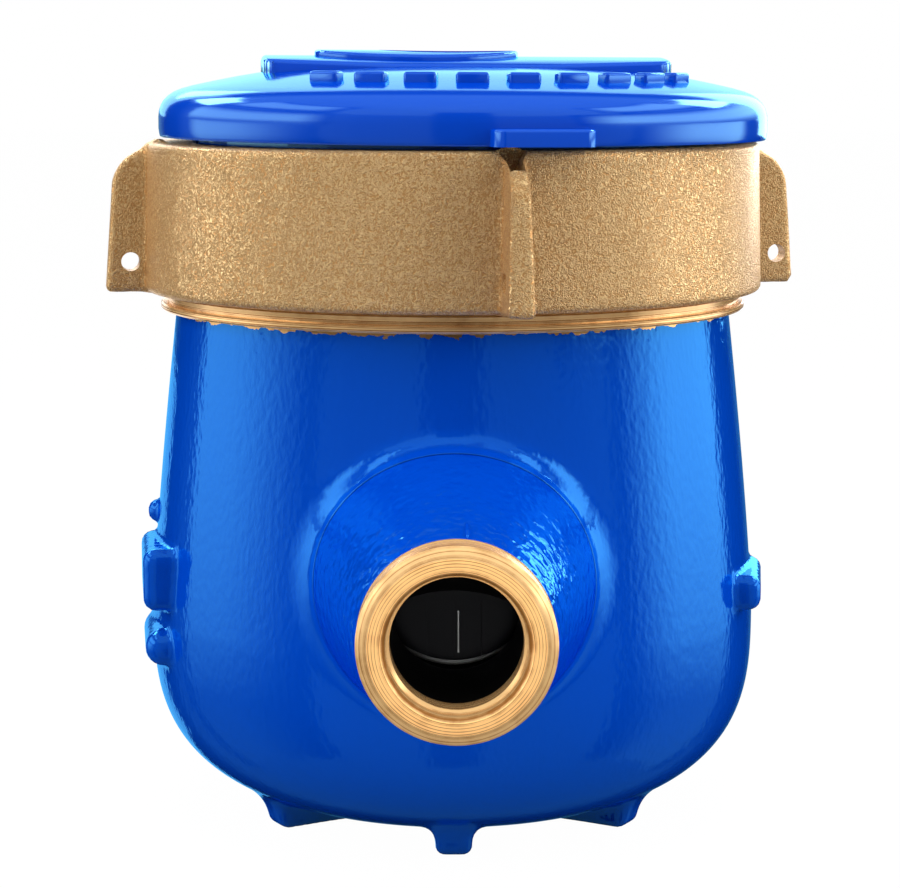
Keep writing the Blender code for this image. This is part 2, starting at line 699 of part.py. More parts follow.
def chamber_cover():
    hole = SHAFT_RADIUS + RUNNING_GAP
    cover = tube(CHAMBER_RADIUS, hole, cover_level(), cover_level() + COVER_HEIGHT)
    piece("chamber_cover", cover, "white_plastic")


def main_seal():
    low = COUNTERBORE_LEVEL + GAP
    ring = tube(COUNTERBORE_RADIUS - GAP, CAVITY_RADIUS + GAP, low, low + SEAL_HEIGHT)
    piece("main_seal", ring, "rubber")


def pressure_plate():
    """The sealing plate, whose skirt holds the measuring chamber down."""
    low = plate_level()
    high = low + PLATE_HEIGHT
    skirt_foot = cover_level() + COVER_HEIGHT + GAP
    skirt = CHAMBER_RADIUS
    outline = [(0.0, low), (skirt - SKIRT_WALL, low), (skirt - SKIRT_WALL, skirt_foot),
               (skirt, skirt_foot), (skirt, low), (COUNTERBORE_RADIUS - GAP, low),
               (COUNTERBORE_RADIUS - GAP, high), (0.0, high)]
    piece("pressure_plate", lathe(outline, INNER_SEGMENTS), "black_plastic")


def housing_level():
    return plate_level() + PLATE_HEIGHT + GAP


def dial_level():
    return lens_level() - GAP - DIAL_DEPTH


def lens_level():
    return NECK_TOP + GAP + SHROUD_FLANGE_HEIGHT


def register_housing(register):
    """The sealed cup under the dial, with a step that carries the dial plate."""
    low = housing_level()
    seat = dial_level() - GAP
    top = lens_level() - GAP
    bore = HOUSING_RADIUS - HOUSING_WALL
    inner = HOUSING_RADIUS - HOUSING_SEAT_WALL
    outline = [(0.0, low), (HOUSING_RADIUS, low), (HOUSING_RADIUS, top), (bore, top),
               (bore, seat), (inner, seat), (inner, low + HOUSING_FLOOR),
               (0.0, low + HOUSING_FLOOR)]
    piece("register_housing", lathe(outline, INNER_SEGMENTS), "black_plastic", parent=register)


def gear_outline(teeth, slack):
    """Straight-flanked teeth about the pitch circle, thinned by the backlash."""
    pitch = GEAR_MODULE * teeth / 2.0
    crest = pitch + GEAR_MODULE
    root = pitch - 1.25 * GEAR_MODULE
    step = math.tau / teeth
    half = step / 4.0 - slack / pitch / 2.0
    points = []
    for i in range(teeth):
        middle = step * i
        for radius, angle in ((root, -half * 1.5), (crest, -half * 0.45),
                              (crest, half * 0.45), (root, half * 1.5)):
            points.append((radius * math.cos(middle + angle), radius * math.sin(middle + angle)))
    return points


def train_level():
    """Level of the train's underside, just over the housing's floor."""
    return housing_level() + HOUSING_FLOOR + GAP


def pointer_level():
    return dial_level() + DIAL_THICKNESS + GAP


def dial_places():
    """Where each arbor of the train and each pointer stands, about the register's axis."""
    first = GEAR_MODULE * (PINION_TEETH + WHEEL_A_TEETH) / 2.0
    last = first + GEAR_MODULE * (PINION_TEETH + WHEEL_B_TEETH) / 2.0
    places = {"wheel_a": (first, DIAL_LINE), "wheel_b": (last, DIAL_LINE)}
    for i, name in enumerate(POINTER_NAMES):
        places[name] = (last, DIAL_LINE + POINTER_STEP * (i + 1))
    return {name: (radius * math.cos(math.radians(angle)), radius * math.sin(math.radians(angle)))
            for name, (radius, angle) in places.items()}


def magnet_follower(spin):
    low = train_level()
    magnet_top = low + FOLLOWER_HEIGHT
    pinion_top = magnet_top + GAP + GEAR_THICKNESS + GAP
    follower = piece("magnet_follower", disc(FOLLOWER_RADIUS, low, magnet_top, 16), "magnet",
                     parent=spin)
    tool("follower_pinion", pinion(magnet_top - GEAR_THICKNESS / 2.0, pinion_top), follower,
         "UNION", parent=spin)
    star_low = pointer_level()
    arbor = disc(ARBOR_RADIUS, magnet_top, star_low + POINTER_THICKNESS / 2.0, ARBOR_SEGMENTS)
    tool("follower_arbor", arbor, follower, "UNION", parent=spin)
    tips = []
    for i in range(2 * STAR_POINTS):
        radius = STAR_RADIUS if i % 2 == 0 else STAR_RADIUS * 0.5
        angle = math.tau * i / (2 * STAR_POINTS)
        tips.append((radius * math.cos(angle), radius * math.sin(angle)))
    tool("flow_star", prism(tips, star_low, star_low + POINTER_THICKNESS), follower, "UNION",
         parent=spin)


def pinion(low, high):
    """A small gear with one tooth on the line that the train's arbors stand on."""
    bm = prism(gear_outline(PINION_TEETH, GEAR_BACKLASH), low, high)
    return transformed(bm, turned(DIAL_LINE))


def wheel(name, teeth, low, spin):
    """A gear with a gap between teeth that faces the pinion before it."""
    bm = prism(gear_outline(teeth, GEAR_BACKLASH), low, low + GEAR_THICKNESS)
    facing = DIAL_LINE + 180.0 + 180.0 / teeth
    return piece(name, transformed(bm, turned(facing)), "white_plastic", parent=spin)


def gear_train(spins):
    """Two reduction wheels between the magnet and the first pointer."""
    low = train_level()
    middle = low + FOLLOWER_HEIGHT + GAP
    first = wheel("wheel_a", WHEEL_A_TEETH, middle, spins["wheel_a"])
    tool("wheel_a_pinion", pinion(low, middle + GEAR_THICKNESS / 2.0), first, "UNION",
         parent=spins["wheel_a"])
    last = wheel("wheel_b", WHEEL_B_TEETH, low, spins["wheel_b"])
    arbor = disc(ARBOR_RADIUS, low + GEAR_THICKNESS / 2.0, pointer_level() + POINTER_THICKNESS,
                 ARBOR_SEGMENTS)
    tool("wheel_b_arbor", arbor, last, "UNION", parent=spins["wheel_b"])
    tool("wheel_b_pointer", pointer_shape(), last, "UNION", parent=spins["wheel_b"])


def pointer_shape():
    half = POINTER_WIDTH / 2.0
    tail = POINTER_LENGTH * 0.36
    shoulder = POINTER_LENGTH * 0.6
    outline = [(-tail, -half), (shoulder, -half), (POINTER_LENGTH, 0.0), (shoulder, half),
               (-tail, half)]
    return prism(outline, pointer_level(), pointer_level() + POINTER_THICKNESS)


def pointers(spins):
    level = pointer_level()
    foot_level = dial_level() - DIAL_THICKNESS
    cap_level = level + POINTER_THICKNESS * 1.5
    outline = [(0.0, foot_level), (ARBOR_RADIUS, foot_level), (ARBOR_RADIUS, level),
               (POINTER_HUB_RADIUS, level), (POINTER_HUB_RADIUS, cap_level), (0.0, cap_level)]
    for name in POINTER_NAMES:
        hand = piece(name, lathe(outline, ARBOR_SEGMENTS), "red_plastic", parent=spins[name])
        tool(name + "_hand", pointer_shape(), hand, "UNION", parent=spins[name])


def dial_plate(register):
    """The printed dial, with a window for the drums and a hole for each arbor."""
    low = dial_level()
    radius = HOUSING_RADIUS - HOUSING_WALL - GAP
    plate = piece("dial_plate", disc(radius, low, low + DIAL_THICKNESS, SHROUD_SEGMENTS),
                  "white_plastic", parent=register)
    cut_low = low - CUT_PAST
    cut_high = low + DIAL_THICKNESS + CUT_PAST
    half = DRUM_PITCH * DRUM_COUNT / 2.0
    cuts = [box(-half, half, DRUM_ROW - DRUM_RADIUS * 0.55, DRUM_ROW + DRUM_RADIUS * 0.55,
                cut_low, cut_high)]
    centres = [(0.0, 0.0)] + [at for name, at in dial_places().items() if name != "wheel_a"]
    for x, y in centres:
        hole = disc(ARBOR_RADIUS + RUNNING_GAP, cut_low, cut_high, ARBOR_SEGMENTS)
        cuts.append(transformed(hole, moved(x, y)))
    tool("dial_windows", merged(cuts), plate, "DIFFERENCE", parent=register)


def drum_level():
    return dial_level() - DRUM_DROP - GAP


def number_drums(register):
    """Five digit drums, free on one shaft, behind the dial's window."""
    level = drum_level()
    lie = turned(90, "Y")
    for i in range(DRUM_COUNT):
        x = DRUM_PITCH * (i - (DRUM_COUNT - 1) / 2.0)
        spin = pivot(f"drum_axis_{i + 1}", moved(x, DRUM_ROW, level) @ lie, register)
        half = DRUM_WIDTH / 2.0
        ring = tube(DRUM_RADIUS, DRUM_SHAFT_RADIUS + GAP, -half, half, 10)
        piece(f"number_drum_{i + 1}", ring, "black_plastic", parent=spin)
    length = DRUM_PITCH * DRUM_COUNT / 2.0 + SHAFT_OVERHANG
    bar = disc(DRUM_SHAFT_RADIUS, -length, length, ARBOR_SEGMENTS)
    place = moved(0.0, DRUM_ROW, level) @ lie
    shaft = piece("drum_shaft", bar, "steel", place, register)
    drop = level - train_level()
    posts = []
    for side in (-1.0, 1.0):
        at = side * (DRUM_PITCH * DRUM_COUNT / 2.0 + POST_THICKNESS)
        posts.append(box(-POST_WIDTH, drop, -POST_WIDTH, POST_WIDTH,
                         at - POST_THICKNESS / 2.0, at + POST_THICKNESS / 2.0))
    tool("drum_posts", merged(posts), shaft, "UNION", place, register)


def lens(register):
    low = lens_level()
    radius = SHROUD_BORE - GAP
    outline = [(0.0, low), (radius, low), (radius, low + LENS_THICKNESS),
               (radius - LENS_BEVEL, low + LENS_THICKNESS + LENS_CROWN),
               (0.0, low + LENS_THICKNESS + LENS_CROWN)]
    piece("lens", lathe(outline, INNER_SEGMENTS), "glass", parent=register)


def register_shroud(register, lid_frame):
    """The blue collar round the lens, with the arm that carries the lid's pin."""
    low = NECK_TOP + GAP
    top = low + SHROUD_FLANGE_HEIGHT
    upstand = SHROUD_BORE + SHROUD_WALL
    lens_top = lens_level() + LENS_THICKNESS + LENS_CROWN + GAP
    lip = SHROUD_BORE - LENS_LIP
    outline = [(SHROUD_BORE, low), (SHROUD_FLANGE_RADIUS, low), (SHROUD_FLANGE_RADIUS, top),
               (upstand, top), (upstand, SHROUD_TOP), (lip, SHROUD_TOP),
               (lip, lens_top), (SHROUD_BORE, lens_top)]
    shroud = piece("register_shroud", lathe(outline, SHROUD_SEGMENTS), "blue_plastic",
                   parent=register)
    half = KNUCKLE_WIDTH / 2.0
    arm = loft([[(x, y, z) for y, z in hinge_arm_outline()] for x in (-half, half)])
    tool("hinge_arm", arm, shroud, "UNION", lid_frame)
    hole = [(HINGE_REACH + y, HINGE_LEVEL + z)
            for y, z in circle_points(PIN_RADIUS + GAP, SMALL_SEGMENTS)]
    bore = loft([[(x, y, z) for y, z in hole] for x in (-half * 1.3, half * 1.3)])
    tool("hinge_bore", bore, shroud, "DIFFERENCE", lid_frame)


def hinge_arm_outline():
    """The arm over the ring's top and the round knuckle at its end, as (reach, level)."""
    root = SHROUD_BORE + SHROUD_WALL / 2.0
    low = RING_TOP + 2.0 * GAP
    high = low + ARM_HEIGHT
    outline = [(root, low), (HINGE_REACH + KNUCKLE_RADIUS * 0.4, low)]
    for i in range(12):
        angle = math.radians(-60.0 + 25.0 * i)
        outline.append((HINGE_REACH + KNUCKLE_RADIUS * math.cos(angle),
                        HINGE_LEVEL + KNUCKLE_RADIUS * math.sin(angle)))
    return outline + [(HINGE_REACH - KNUCKLE_RADIUS * 1.2, high), (root, high)]


def slip_washer():
    low = NECK_TOP + GAP + SHROUD_FLANGE_HEIGHT + GAP
    upstand = SHROUD_BORE + SHROUD_WALL + GAP
    piece("slip_washer", tube(WASHER_RADIUS, upstand, low, low + WASHER_HEIGHT, SHROUD_SEGMENTS),
          "black_plastic")


def ring_outline():
    low = RING_BOTTOM
    return [(RING_BORE, low), (RING_RADIUS - RING_EDGE, low), (RING_RADIUS, low + RING_EDGE),
            (RING_RADIUS, RING_TOP - RING_EDGE), (RING_RADIUS - RING_EDGE, RING_TOP),
            (RING_LIP_RADIUS, RING_TOP), (RING_LIP_RADIUS, RING_LIP_LEVEL),
            (RING_BORE, RING_LIP_LEVEL)]


def lug():
    """One radial plate that thins towards its top, its outer corners rounded."""
    inner = RING_RADIUS - LUG_ROOT
    foot_reach = RING_RADIUS + LUG_PROUD_BOTTOM
    head_reach = RING_RADIUS + LUG_PROUD_TOP
    high = RING_TOP - LUG_TOP_DROP
    shoulder = high - LUG_TOP_SLOPE
    outline = [(inner, RING_BOTTOM), (foot_reach - LUG_EDGE, RING_BOTTOM),
               (foot_reach, RING_BOTTOM + LUG_EDGE), (head_reach, shoulder - LUG_CORNER),
               (head_reach - LUG_EDGE, shoulder - LUG_CORNER * 0.3),
               (head_reach - LUG_CORNER, shoulder + LUG_CORNER * 0.2), (inner, high)]
    middle = (RING_BOTTOM + high) / 2.0
    rings = []
    for side, edge in ((-1.0, LUG_EDGE), (-1.0, 0.0), (1.0, 0.0), (1.0, LUG_EDGE)):
        ring = []
        for x, z in outline:
            share = (z - RING_BOTTOM) / (high - RING_BOTTOM)
            half = (LUG_THICKNESS - LUG_TAPER * share) / 2.0 - (LUG_EDGE - edge)
            ring.append((x - edge * (x > inner), side * half, z - math.copysign(edge, z - middle)))
        rings.append(ring)
    return loft(rings)


def lug_hole():
    reach = RING_RADIUS + LUG_HOLE_PROUD
    level = RING_BOTTOM + LUG_HOLE_HEIGHT
    hole = [(reach + x, level + z)
            for x, z in circle_points(LUG_HOLE_RADIUS, SMALL_SEGMENTS)]
    return loft([[(x, y, z) for x, z in hole] for y in (-LUG_THICKNESS, LUG_THICKNESS)])


def head_ring():
    ring = piece("head_ring", lathe(ring_outline(), BODY_SEGMENTS), "cast_brass")
    spots = [LUG_TURN + 360.0 * i / LUG_COUNT for i in range(LUG_COUNT)]
    tool("lugs", merged([transformed(lug(), turned(spot)) for spot in spots]), ring, "UNION")
    holes = merged([transformed(lug_hole(), turned(spot)) for spot in spots])
    tool("lug_holes", holes, ring, "DIFFERENCE")
    half = NOTCH_WIDTH / 2.0
    mouth = NOTCH_MOUTH / 2.0
    low = RING_TOP - NOTCH_DEPTH
    waist = RING_TOP - NOTCH_MOUTH_DEPTH
    above = RING_TOP + CUT_PAST
    outline = [(-half, low), (half, low), (half, waist), (mouth, above), (-mouth, above),
               (-half, waist)]
    depth = (RING_RADIUS - NECK_RADIUS) * 0.6
    slot = loft([[(x, y, z) for y, z in outline]
                 for x in (RING_RADIUS - depth, RING_RADIUS + CUT_PAST)])
    tool("wire_notch", transformed(slot, turned(LUG_TURN - 90.0)), ring, "DIFFERENCE")


def lid_outline():
    """The lid's closed section: skirt, rounded shoulder, low dome and even wall."""
    outside = [(LID_RADIUS, LID_BOTTOM), (LID_RADIUS, LID_SKIRT_TOP),
               (LID_RADIUS - LID_CORNER, LID_SHOULDER_LEVEL - LID_CORNER),
               (LID_SHOULDER_RADIUS, LID_SHOULDER_LEVEL),
               ((LID_SHOULDER_RADIUS + LID_CROWN_RADIUS) / 2.0,
                (LID_SHOULDER_LEVEL + LID_CROWN_LEVEL) / 2.0 + LID_CROWNING),
               (LID_CROWN_RADIUS, LID_CROWN_LEVEL), (0.0, LID_CENTRE_LEVEL)]
    inside = [(0.0, LID_CENTRE_LEVEL - LID_WALL), (LID_CROWN_RADIUS, LID_CROWN_LEVEL - LID_WALL),
              (LID_SHOULDER_RADIUS - LID_WALL / 2.0, LID_SHOULDER_LEVEL - LID_WALL),
              (LID_RADIUS - LID_WALL, LID_SKIRT_TOP), (LID_RADIUS - LID_WALL, LID_BOTTOM)]
    return outside + inside


def dome_level(radius):
    """Level of the lid's outer surface inside the shoulder."""
    if radius < LID_CROWN_RADIUS:
        share = radius / LID_CROWN_RADIUS
        return LID_CENTRE_LEVEL + (LID_CROWN_LEVEL - LID_CENTRE_LEVEL) * share
    share = (radius - LID_CROWN_RADIUS) / (LID_SHOULDER_RADIUS - LID_CROWN_RADIUS)
    return LID_CROWN_LEVEL + (LID_SHOULDER_LEVEL - LID_CROWN_LEVEL) * share


def plate_top(y, rise=0.0):
    """Level of the raised oblong's barrel-shaped top."""
    share = y / PLATE_FRONT
    return PLATE_LEVEL + rise - PLATE_CROWN * share * share


def lid_plate():
    """The raised oblong on the dome, wider in the middle, with a barrel-shaped top."""
    ends = PLATE_HALF_LENGTH
    front = PLATE_FRONT * PLATE_END_SHARE
    cut = PLATE_CORNER
    half = [(0.0, -PLATE_FRONT), (ends * 0.35, -PLATE_FRONT), (ends - cut, -front),
            (ends - cut * 0.3, cut * 0.3 - front), (ends, cut - front),
            (ends, PLATE_BACK - cut), (ends - cut * 0.3, PLATE_BACK - cut * 0.3),
            (ends - cut, PLATE_BACK), (0.0, PLATE_BACK)]
    outline = half + [(-x, y) for x, y in reversed(half[1:-1])]
    low = LID_CROWN_LEVEL - LID_WALL / 2.0
    inset = 1.0 - PLATE_EDGE / PLATE_BACK
    rings = [[(x, y, low) for x, y in outline],
             [(x, y, plate_top(y) - PLATE_EDGE) for x, y in outline]]
    for share in (inset, 0.5, 0.05):
        long = 1.0 - PLATE_EDGE / ends
        rings.append([(x * long, y * share, plate_top(y * share)) for x, y in outline])
    return transformed(loft(rings), turned(PLATE_TURN))


def lid_studs():
    studs = []
    for i in range(STUD_COUNT):
        spin = STUD_ARC * (i / (STUD_COUNT - 1) - 0.5) - 90.0
        level = dome_level(STUD_ROW_RADIUS)
        long, wide = STUD_LENGTH / 2.0, STUD_WIDTH / 2.0
        low = box(-wide, wide, -long, long, level - LID_WALL * 0.6, level + STUD_PROUD)
        bmesh.ops.bevel(low, geom=[e for e in low.edges if min(v.co.z for v in e.verts) > level],
                        offset=STUD_EDGE, segments=1, profile=0.5, affect="EDGES", material=-1)
        studs.append(transformed(low, turned(spin) @ moved(x=STUD_ROW_RADIUS)))
    return merged(studs)


def hinged_lid(lid_axis, to_lid):
    """The lid, with everything given about the meter's axis and moved to the pin."""
    lid = piece("lid", transformed(lathe(lid_outline(), BODY_SEGMENTS), to_lid), "blue_plastic",
                parent=lid_axis)

    def add(name, bm, operation):
        tool(name, transformed(bm, to_lid), lid, operation, parent=lid_axis)

    half = TAB_WIDTH / 2.0
    add("lid_tab", prism_tab(half), "UNION")
    add("lid_oblong", lid_plate(), "UNION")
    add("lid_boss", plate_boss(), "UNION")
    add("lid_grips", lid_studs(), "UNION")
    inner = KNUCKLE_WIDTH / 2.0 + RUNNING_GAP
    slot_low = LID_BOTTOM - CUT_PAST
    slot_high = HINGE_LEVEL + KNUCKLE_RADIUS + RUNNING_GAP
    slot = box(-inner, inner, LID_RADIUS - 2.0 * LID_WALL,
               HINGE_REACH + 2.0 * KNUCKLE_RADIUS, slot_low, slot_high)
    add("hinge_slot", slot, "DIFFERENCE")
    ears = []
    for side in (-1.0, 1.0):
        near, far = side * inner, side * (inner + EAR_WIDTH)
        ears.append(lid_ear(min(near, far), max(near, far)))
    add("hinge_ears", merged(ears), "UNION")
    hole = [(HINGE_REACH + y, HINGE_LEVEL + z)
            for y, z in circle_points(PIN_RADIUS + GAP, SMALL_SEGMENTS)]
    reach = inner + EAR_WIDTH + CUT_PAST
    bore = loft([[(x, y, z) for y, z in hole] for x in (-reach, reach)])
    add("ear_bores", bore, "DIFFERENCE")


def prism_tab(half):
    inner = LID_RADIUS - LID_WALL * 0.6
    outer = LID_RADIUS + TAB_REACH
    outline = [(-half, -inner), (-half, TAB_CORNER - outer), (TAB_CORNER - half, -outer),
               (half - TAB_CORNER, -outer), (half, TAB_CORNER - outer), (half, -inner)]
    return prism(outline, LID_BOTTOM, LID_BOTTOM + TAB_HEIGHT)


def plate_boss():
    """The low oval boss on the oblong, with a dished eye towards one end."""
    long, deep = BOSS_HALF_LENGTH, BOSS_HALF_DEPTH
    edge = BOSS_EDGE
    layers = ((long, deep, 0.0, -BOSS_RISE - PLATE_EDGE), (long, deep, 0.0, -edge),
              (long - edge, deep - edge, 0.0, 0.0),
              (EYE_HALF_LENGTH, EYE_HALF_DEPTH, EYE_OFFSET, 0.0),
              (EYE_HALF_LENGTH - edge, EYE_HALF_DEPTH - edge, EYE_OFFSET, -EYE_DEPTH))
    rings = []
    for half_x, half_y, offset, drop in layers:
        ring = []
        for x, y in circle_points(1.0, INNER_SEGMENTS):
            along = y * half_y - BOSS_FRONT
            ring.append((BOSS_OFFSET + offset + x * half_x, along,
                         plate_top(along, BOSS_RISE) + drop))
        rings.append(ring)
    return transformed(loft(rings), turned(PLATE_TURN))


def lid_ear(low_x, high_x):
    """A tongue from the skirt that ends in a round eye about the pin."""
    eye = []
    for i in range(9):
        angle = math.radians(-90.0 + 180.0 * i / 8)
        eye.append((HINGE_REACH + KNUCKLE_RADIUS * math.cos(angle),
                    HINGE_LEVEL + KNUCKLE_RADIUS * math.sin(angle)))
    root = LID_RADIUS - LID_WALL * 0.8
    outline = eye + [(root, HINGE_LEVEL + KNUCKLE_RADIUS * 0.6),
                     (root, HINGE_LEVEL - KNUCKLE_RADIUS)]
    return loft([[(x, y, z) for y, z in outline] for x in (low_x, high_x)])


def hinge_pin(lid_axis):
    reach = KNUCKLE_WIDTH / 2.0 + RUNNING_GAP + EAR_WIDTH
    pin = transformed(disc(PIN_RADIUS, -reach, reach), turned(90, "Y"))
    piece("hinge_pin", pin, "steel", parent=lid_axis)


def build():
    clear_scene()
    meter_body()
    strainer_basket()
    measuring_chamber()
    pivot_pin()
    spin = pivot("impeller_axis", Matrix.Identity(4))
    impeller(spin)
    magnet_ring("drive_magnet", drive_magnet_level(), spin)
    chamber_cover()
    main_seal()
    pressure_plate()
    register = pivot("register_turn", turned(REGISTER_TURN))
    register_housing(register)
    magnet_follower(pivot("follower_axis", Matrix.Identity(4), register))
    spins = {name: pivot(name + "_axis", moved(x, y), register)
             for name, (x, y) in dial_places().items()}
    gear_train(spins)
    dial_plate(register)
    pointers(spins)
    number_drums(register)
    lens(register)
    lift = moved(z=LID_BOTTOM)
    roll = lift @ turned(LID_ROLL, "Y") @ lift.inverted()
    lid_frame = moved(x=LID_SHIFT) @ turned(REGISTER_TURN) @ roll
    register_shroud(register, lid_frame)
    slip_washer()
    head_ring()
    hinge = moved(y=HINGE_REACH, z=HINGE_LEVEL)
    lid_axis = pivot("lid_axis", lid_frame @ hinge)
    hinged_lid(lid_axis, hinge.inverted())
    hinge_pin(lid_axis)


build()
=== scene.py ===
# Domestic water meter: a round blue enamelled casting with a sand-cast brass
# head ring and a hinged blue lid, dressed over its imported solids.
import math

import bmesh
import bpy
import numpy as np
from mathutils import Matrix, Vector


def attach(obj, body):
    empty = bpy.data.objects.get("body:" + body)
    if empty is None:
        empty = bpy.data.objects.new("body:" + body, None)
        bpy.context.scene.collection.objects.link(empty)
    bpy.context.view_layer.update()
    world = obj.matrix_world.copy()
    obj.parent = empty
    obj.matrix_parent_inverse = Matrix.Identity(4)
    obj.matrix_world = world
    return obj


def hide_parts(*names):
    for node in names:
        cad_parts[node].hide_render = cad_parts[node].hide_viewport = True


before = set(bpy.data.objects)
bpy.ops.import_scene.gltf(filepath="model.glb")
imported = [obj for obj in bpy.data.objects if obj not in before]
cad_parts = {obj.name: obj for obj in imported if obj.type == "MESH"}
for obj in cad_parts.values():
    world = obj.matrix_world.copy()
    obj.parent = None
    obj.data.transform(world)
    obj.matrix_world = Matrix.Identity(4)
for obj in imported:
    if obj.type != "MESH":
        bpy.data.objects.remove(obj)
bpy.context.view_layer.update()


# Camera, lamps and sweep.
# The meter stands on a pale paper sweep, lit softly from both sides and from
# above. Bent cards round it show in its gloss alone.
scene = bpy.context.scene
scene.view_settings.view_transform = "Standard"

CAMERA_PLACE = (-0.0029, -0.4121, 0.1193)
CAMERA_PITCH = 8.4
CAMERA_YAW = -0.35
CAMERA_LENS = 104.0
SENSOR_WIDTH = 36.0
CLIP_START = 0.01
camera_data = bpy.data.cameras.new("camera")
camera_data.sensor_width = SENSOR_WIDTH
camera_data.lens = CAMERA_LENS
camera_data.clip_start = CLIP_START
camera = bpy.data.objects.new("camera", camera_data)
camera.location = CAMERA_PLACE
camera.rotation_euler = (math.radians(90.0 - CAMERA_PITCH), 0.0, math.radians(CAMERA_YAW))
scene.collection.objects.link(camera)
scene.camera = camera


def mesh_piece(name, bm, *finishes):
    """A finished mesh as an object at the origin, with its materials."""
    mesh = bpy.data.meshes.new(name)
    bm.to_mesh(mesh)
    bm.free()
    for finish in finishes:
        mesh.materials.append(finish)
    made = bpy.data.objects.new(name, mesh)
    scene.collection.objects.link(made)
    return made


def node(tree, kind, **settings):
    """A shader node, its properties and plain inputs set by name."""
    made = tree.nodes.new("ShaderNode" + kind)
    for name, value in settings.items():
        if name in made.bl_rna.properties:
            setattr(made, name, value)
        else:
            made.inputs[name.replace("_", " ")].default_value = value
    return made


def feed(tree, value, socket):
    """A number, a colour or another socket's output put into a socket."""
    if isinstance(value, bpy.types.NodeSocket):
        tree.links.new(value, socket)
    else:
        socket.default_value = value


def worked(tree, operation, *values):
    """The result of a Math node on numbers or sockets."""
    made = node(tree, "Math", operation=operation)
    for value, socket in zip(values, made.inputs):
        feed(tree, value, socket)
    return made.outputs[0]


def ranged(tree, value, low, high, first=0.0, last=1.0, easing="LINEAR"):
    """A value carried from one range over to another."""
    made = node(tree, "MapRange", interpolation_type=easing)
    for label, number in zip(("From Min", "From Max", "To Min", "To Max"),
                             (low, high, first, last)):
        made.inputs[label].default_value = number
    tree.links.new(value, made.inputs["Value"])
    return made.outputs["Result"]


def eased(tree, value, low, high, first=0.0, last=1.0):
    """A value carried over in the same way, with a soft start and end."""
    return ranged(tree, value, low, high, first, last, "SMOOTHSTEP")


MIX_SLOTS = {"FLOAT": (2, 3, 0), "RGBA": (6, 7, 2)}


def mixed(tree, share, first, second, kind="FLOAT"):
    """A number or a colour between two, by a share."""
    made = node(tree, "Mix", data_type=kind)
    one, other, result = MIX_SLOTS[kind]
    for slot, value in ((0, share), (one, first), (other, second)):
        feed(tree, value, made.inputs[slot])
    return made.outputs[result]


def own_place(tree):
    """A piece's own coordinates."""
    return node(tree, "TexCoord").outputs["Object"]


def own_axes(tree):
    """A piece's own coordinates, split into X, Y and Z."""
    split = node(tree, "SeparateXYZ")
    tree.links.new(own_place(tree), split.inputs[0])
    return split.outputs


METER_MIDDLE = Vector((0.0, 0.0, 0.06))


def set_up(name, lamp, place, aim):
    """A lamp put at its place and turned to what it lights, unseen in the gloss."""
    holder = bpy.data.objects.new(name, lamp)
    holder.location = place
    holder.rotation_euler = (Vector(aim) - holder.location).to_track_quat("-Z", "Y").to_euler()
    holder.visible_glossy = False
    scene.collection.objects.link(holder)


def soft_lamp(name, azimuth, elevation, distance, width, height, watts):
    """An area lamp that looks at the middle of the meter."""
    lamp = bpy.data.lights.new(name, "AREA")
    lamp.shape = "RECTANGLE"
    lamp.size = width
    lamp.size_y = height
    lamp.energy = watts
    flat = distance * math.cos(math.radians(elevation))
    rise = distance * math.sin(math.radians(elevation))
    turn = math.radians(azimuth)
    offset = Vector((flat * math.sin(turn), -flat * math.cos(turn), rise))
    set_up(name, lamp, METER_MIDDLE + offset, METER_MIDDLE)


# Azimuths of lamps and cards are counted from the camera, positive to the right.
soft_lamp("left_lamp", -72.0, 14.0, 0.65, 0.60, 0.80, 5.3)
soft_lamp("right_lamp", 78.0, 14.0, 0.65, 0.60, 0.80, 5.3)
soft_lamp("top_lamp", 10.0, 75.0, 0.60, 0.50, 0.50, 3.4)

# A narrow lamp from the front, for the turned face of the inlet.
INLET_LAMP_PLACE = (0.0, -0.42, 0.10)
INLET_FACE = (0.0, -0.085, 0.0444)
INLET_LAMP_WATTS = 5.5
INLET_LAMP_CONE = 5.4
spot = bpy.data.lights.new("inlet_lamp", "SPOT")
spot.energy = INLET_LAMP_WATTS
spot.spot_size = math.radians(INLET_LAMP_CONE)
spot.spot_blend = 0.20
spot.shadow_soft_size = 0.02
set_up("inlet_lamp", spot, INLET_LAMP_PLACE, INLET_FACE)


FOOT_SHARE = 0.12


def glow(name, strength, foot=None, head=None, sides=()):
    """A surface that only shines, for what the gloss reflects, and fades to its edges."""
    made = bpy.data.materials.new(name)
    made.use_nodes = True
    made.cycles.emission_sampling = "NONE"
    tree = made.node_tree
    tree.nodes.remove(tree.nodes["Principled BSDF"])
    light = node(tree, "Emission", Strength=strength)
    tree.links.new(light.outputs[0], tree.nodes["Material Output"].inputs[0])
    axes = own_axes(tree)
    shares = []
    for outer, inner in sides:
        ahead = worked(tree, "MULTIPLY", axes["Y"], -1.0)
        turn = worked(tree, "ARCTAN2", axes["X"], ahead)
        shares.append(eased(tree, turn, math.radians(outer), math.radians(inner)))
    if foot:
        shares.append(eased(tree, axes["Z"], *foot, FOOT_SHARE, 1.0))
    if head:
        shares.append(eased(tree, axes["Z"], *head, 1.0, 0.0))
    power = strength
    for share in shares:
        power = worked(tree, "MULTIPLY", share, power)
    feed(tree, power, light.inputs["Strength"])
    return made


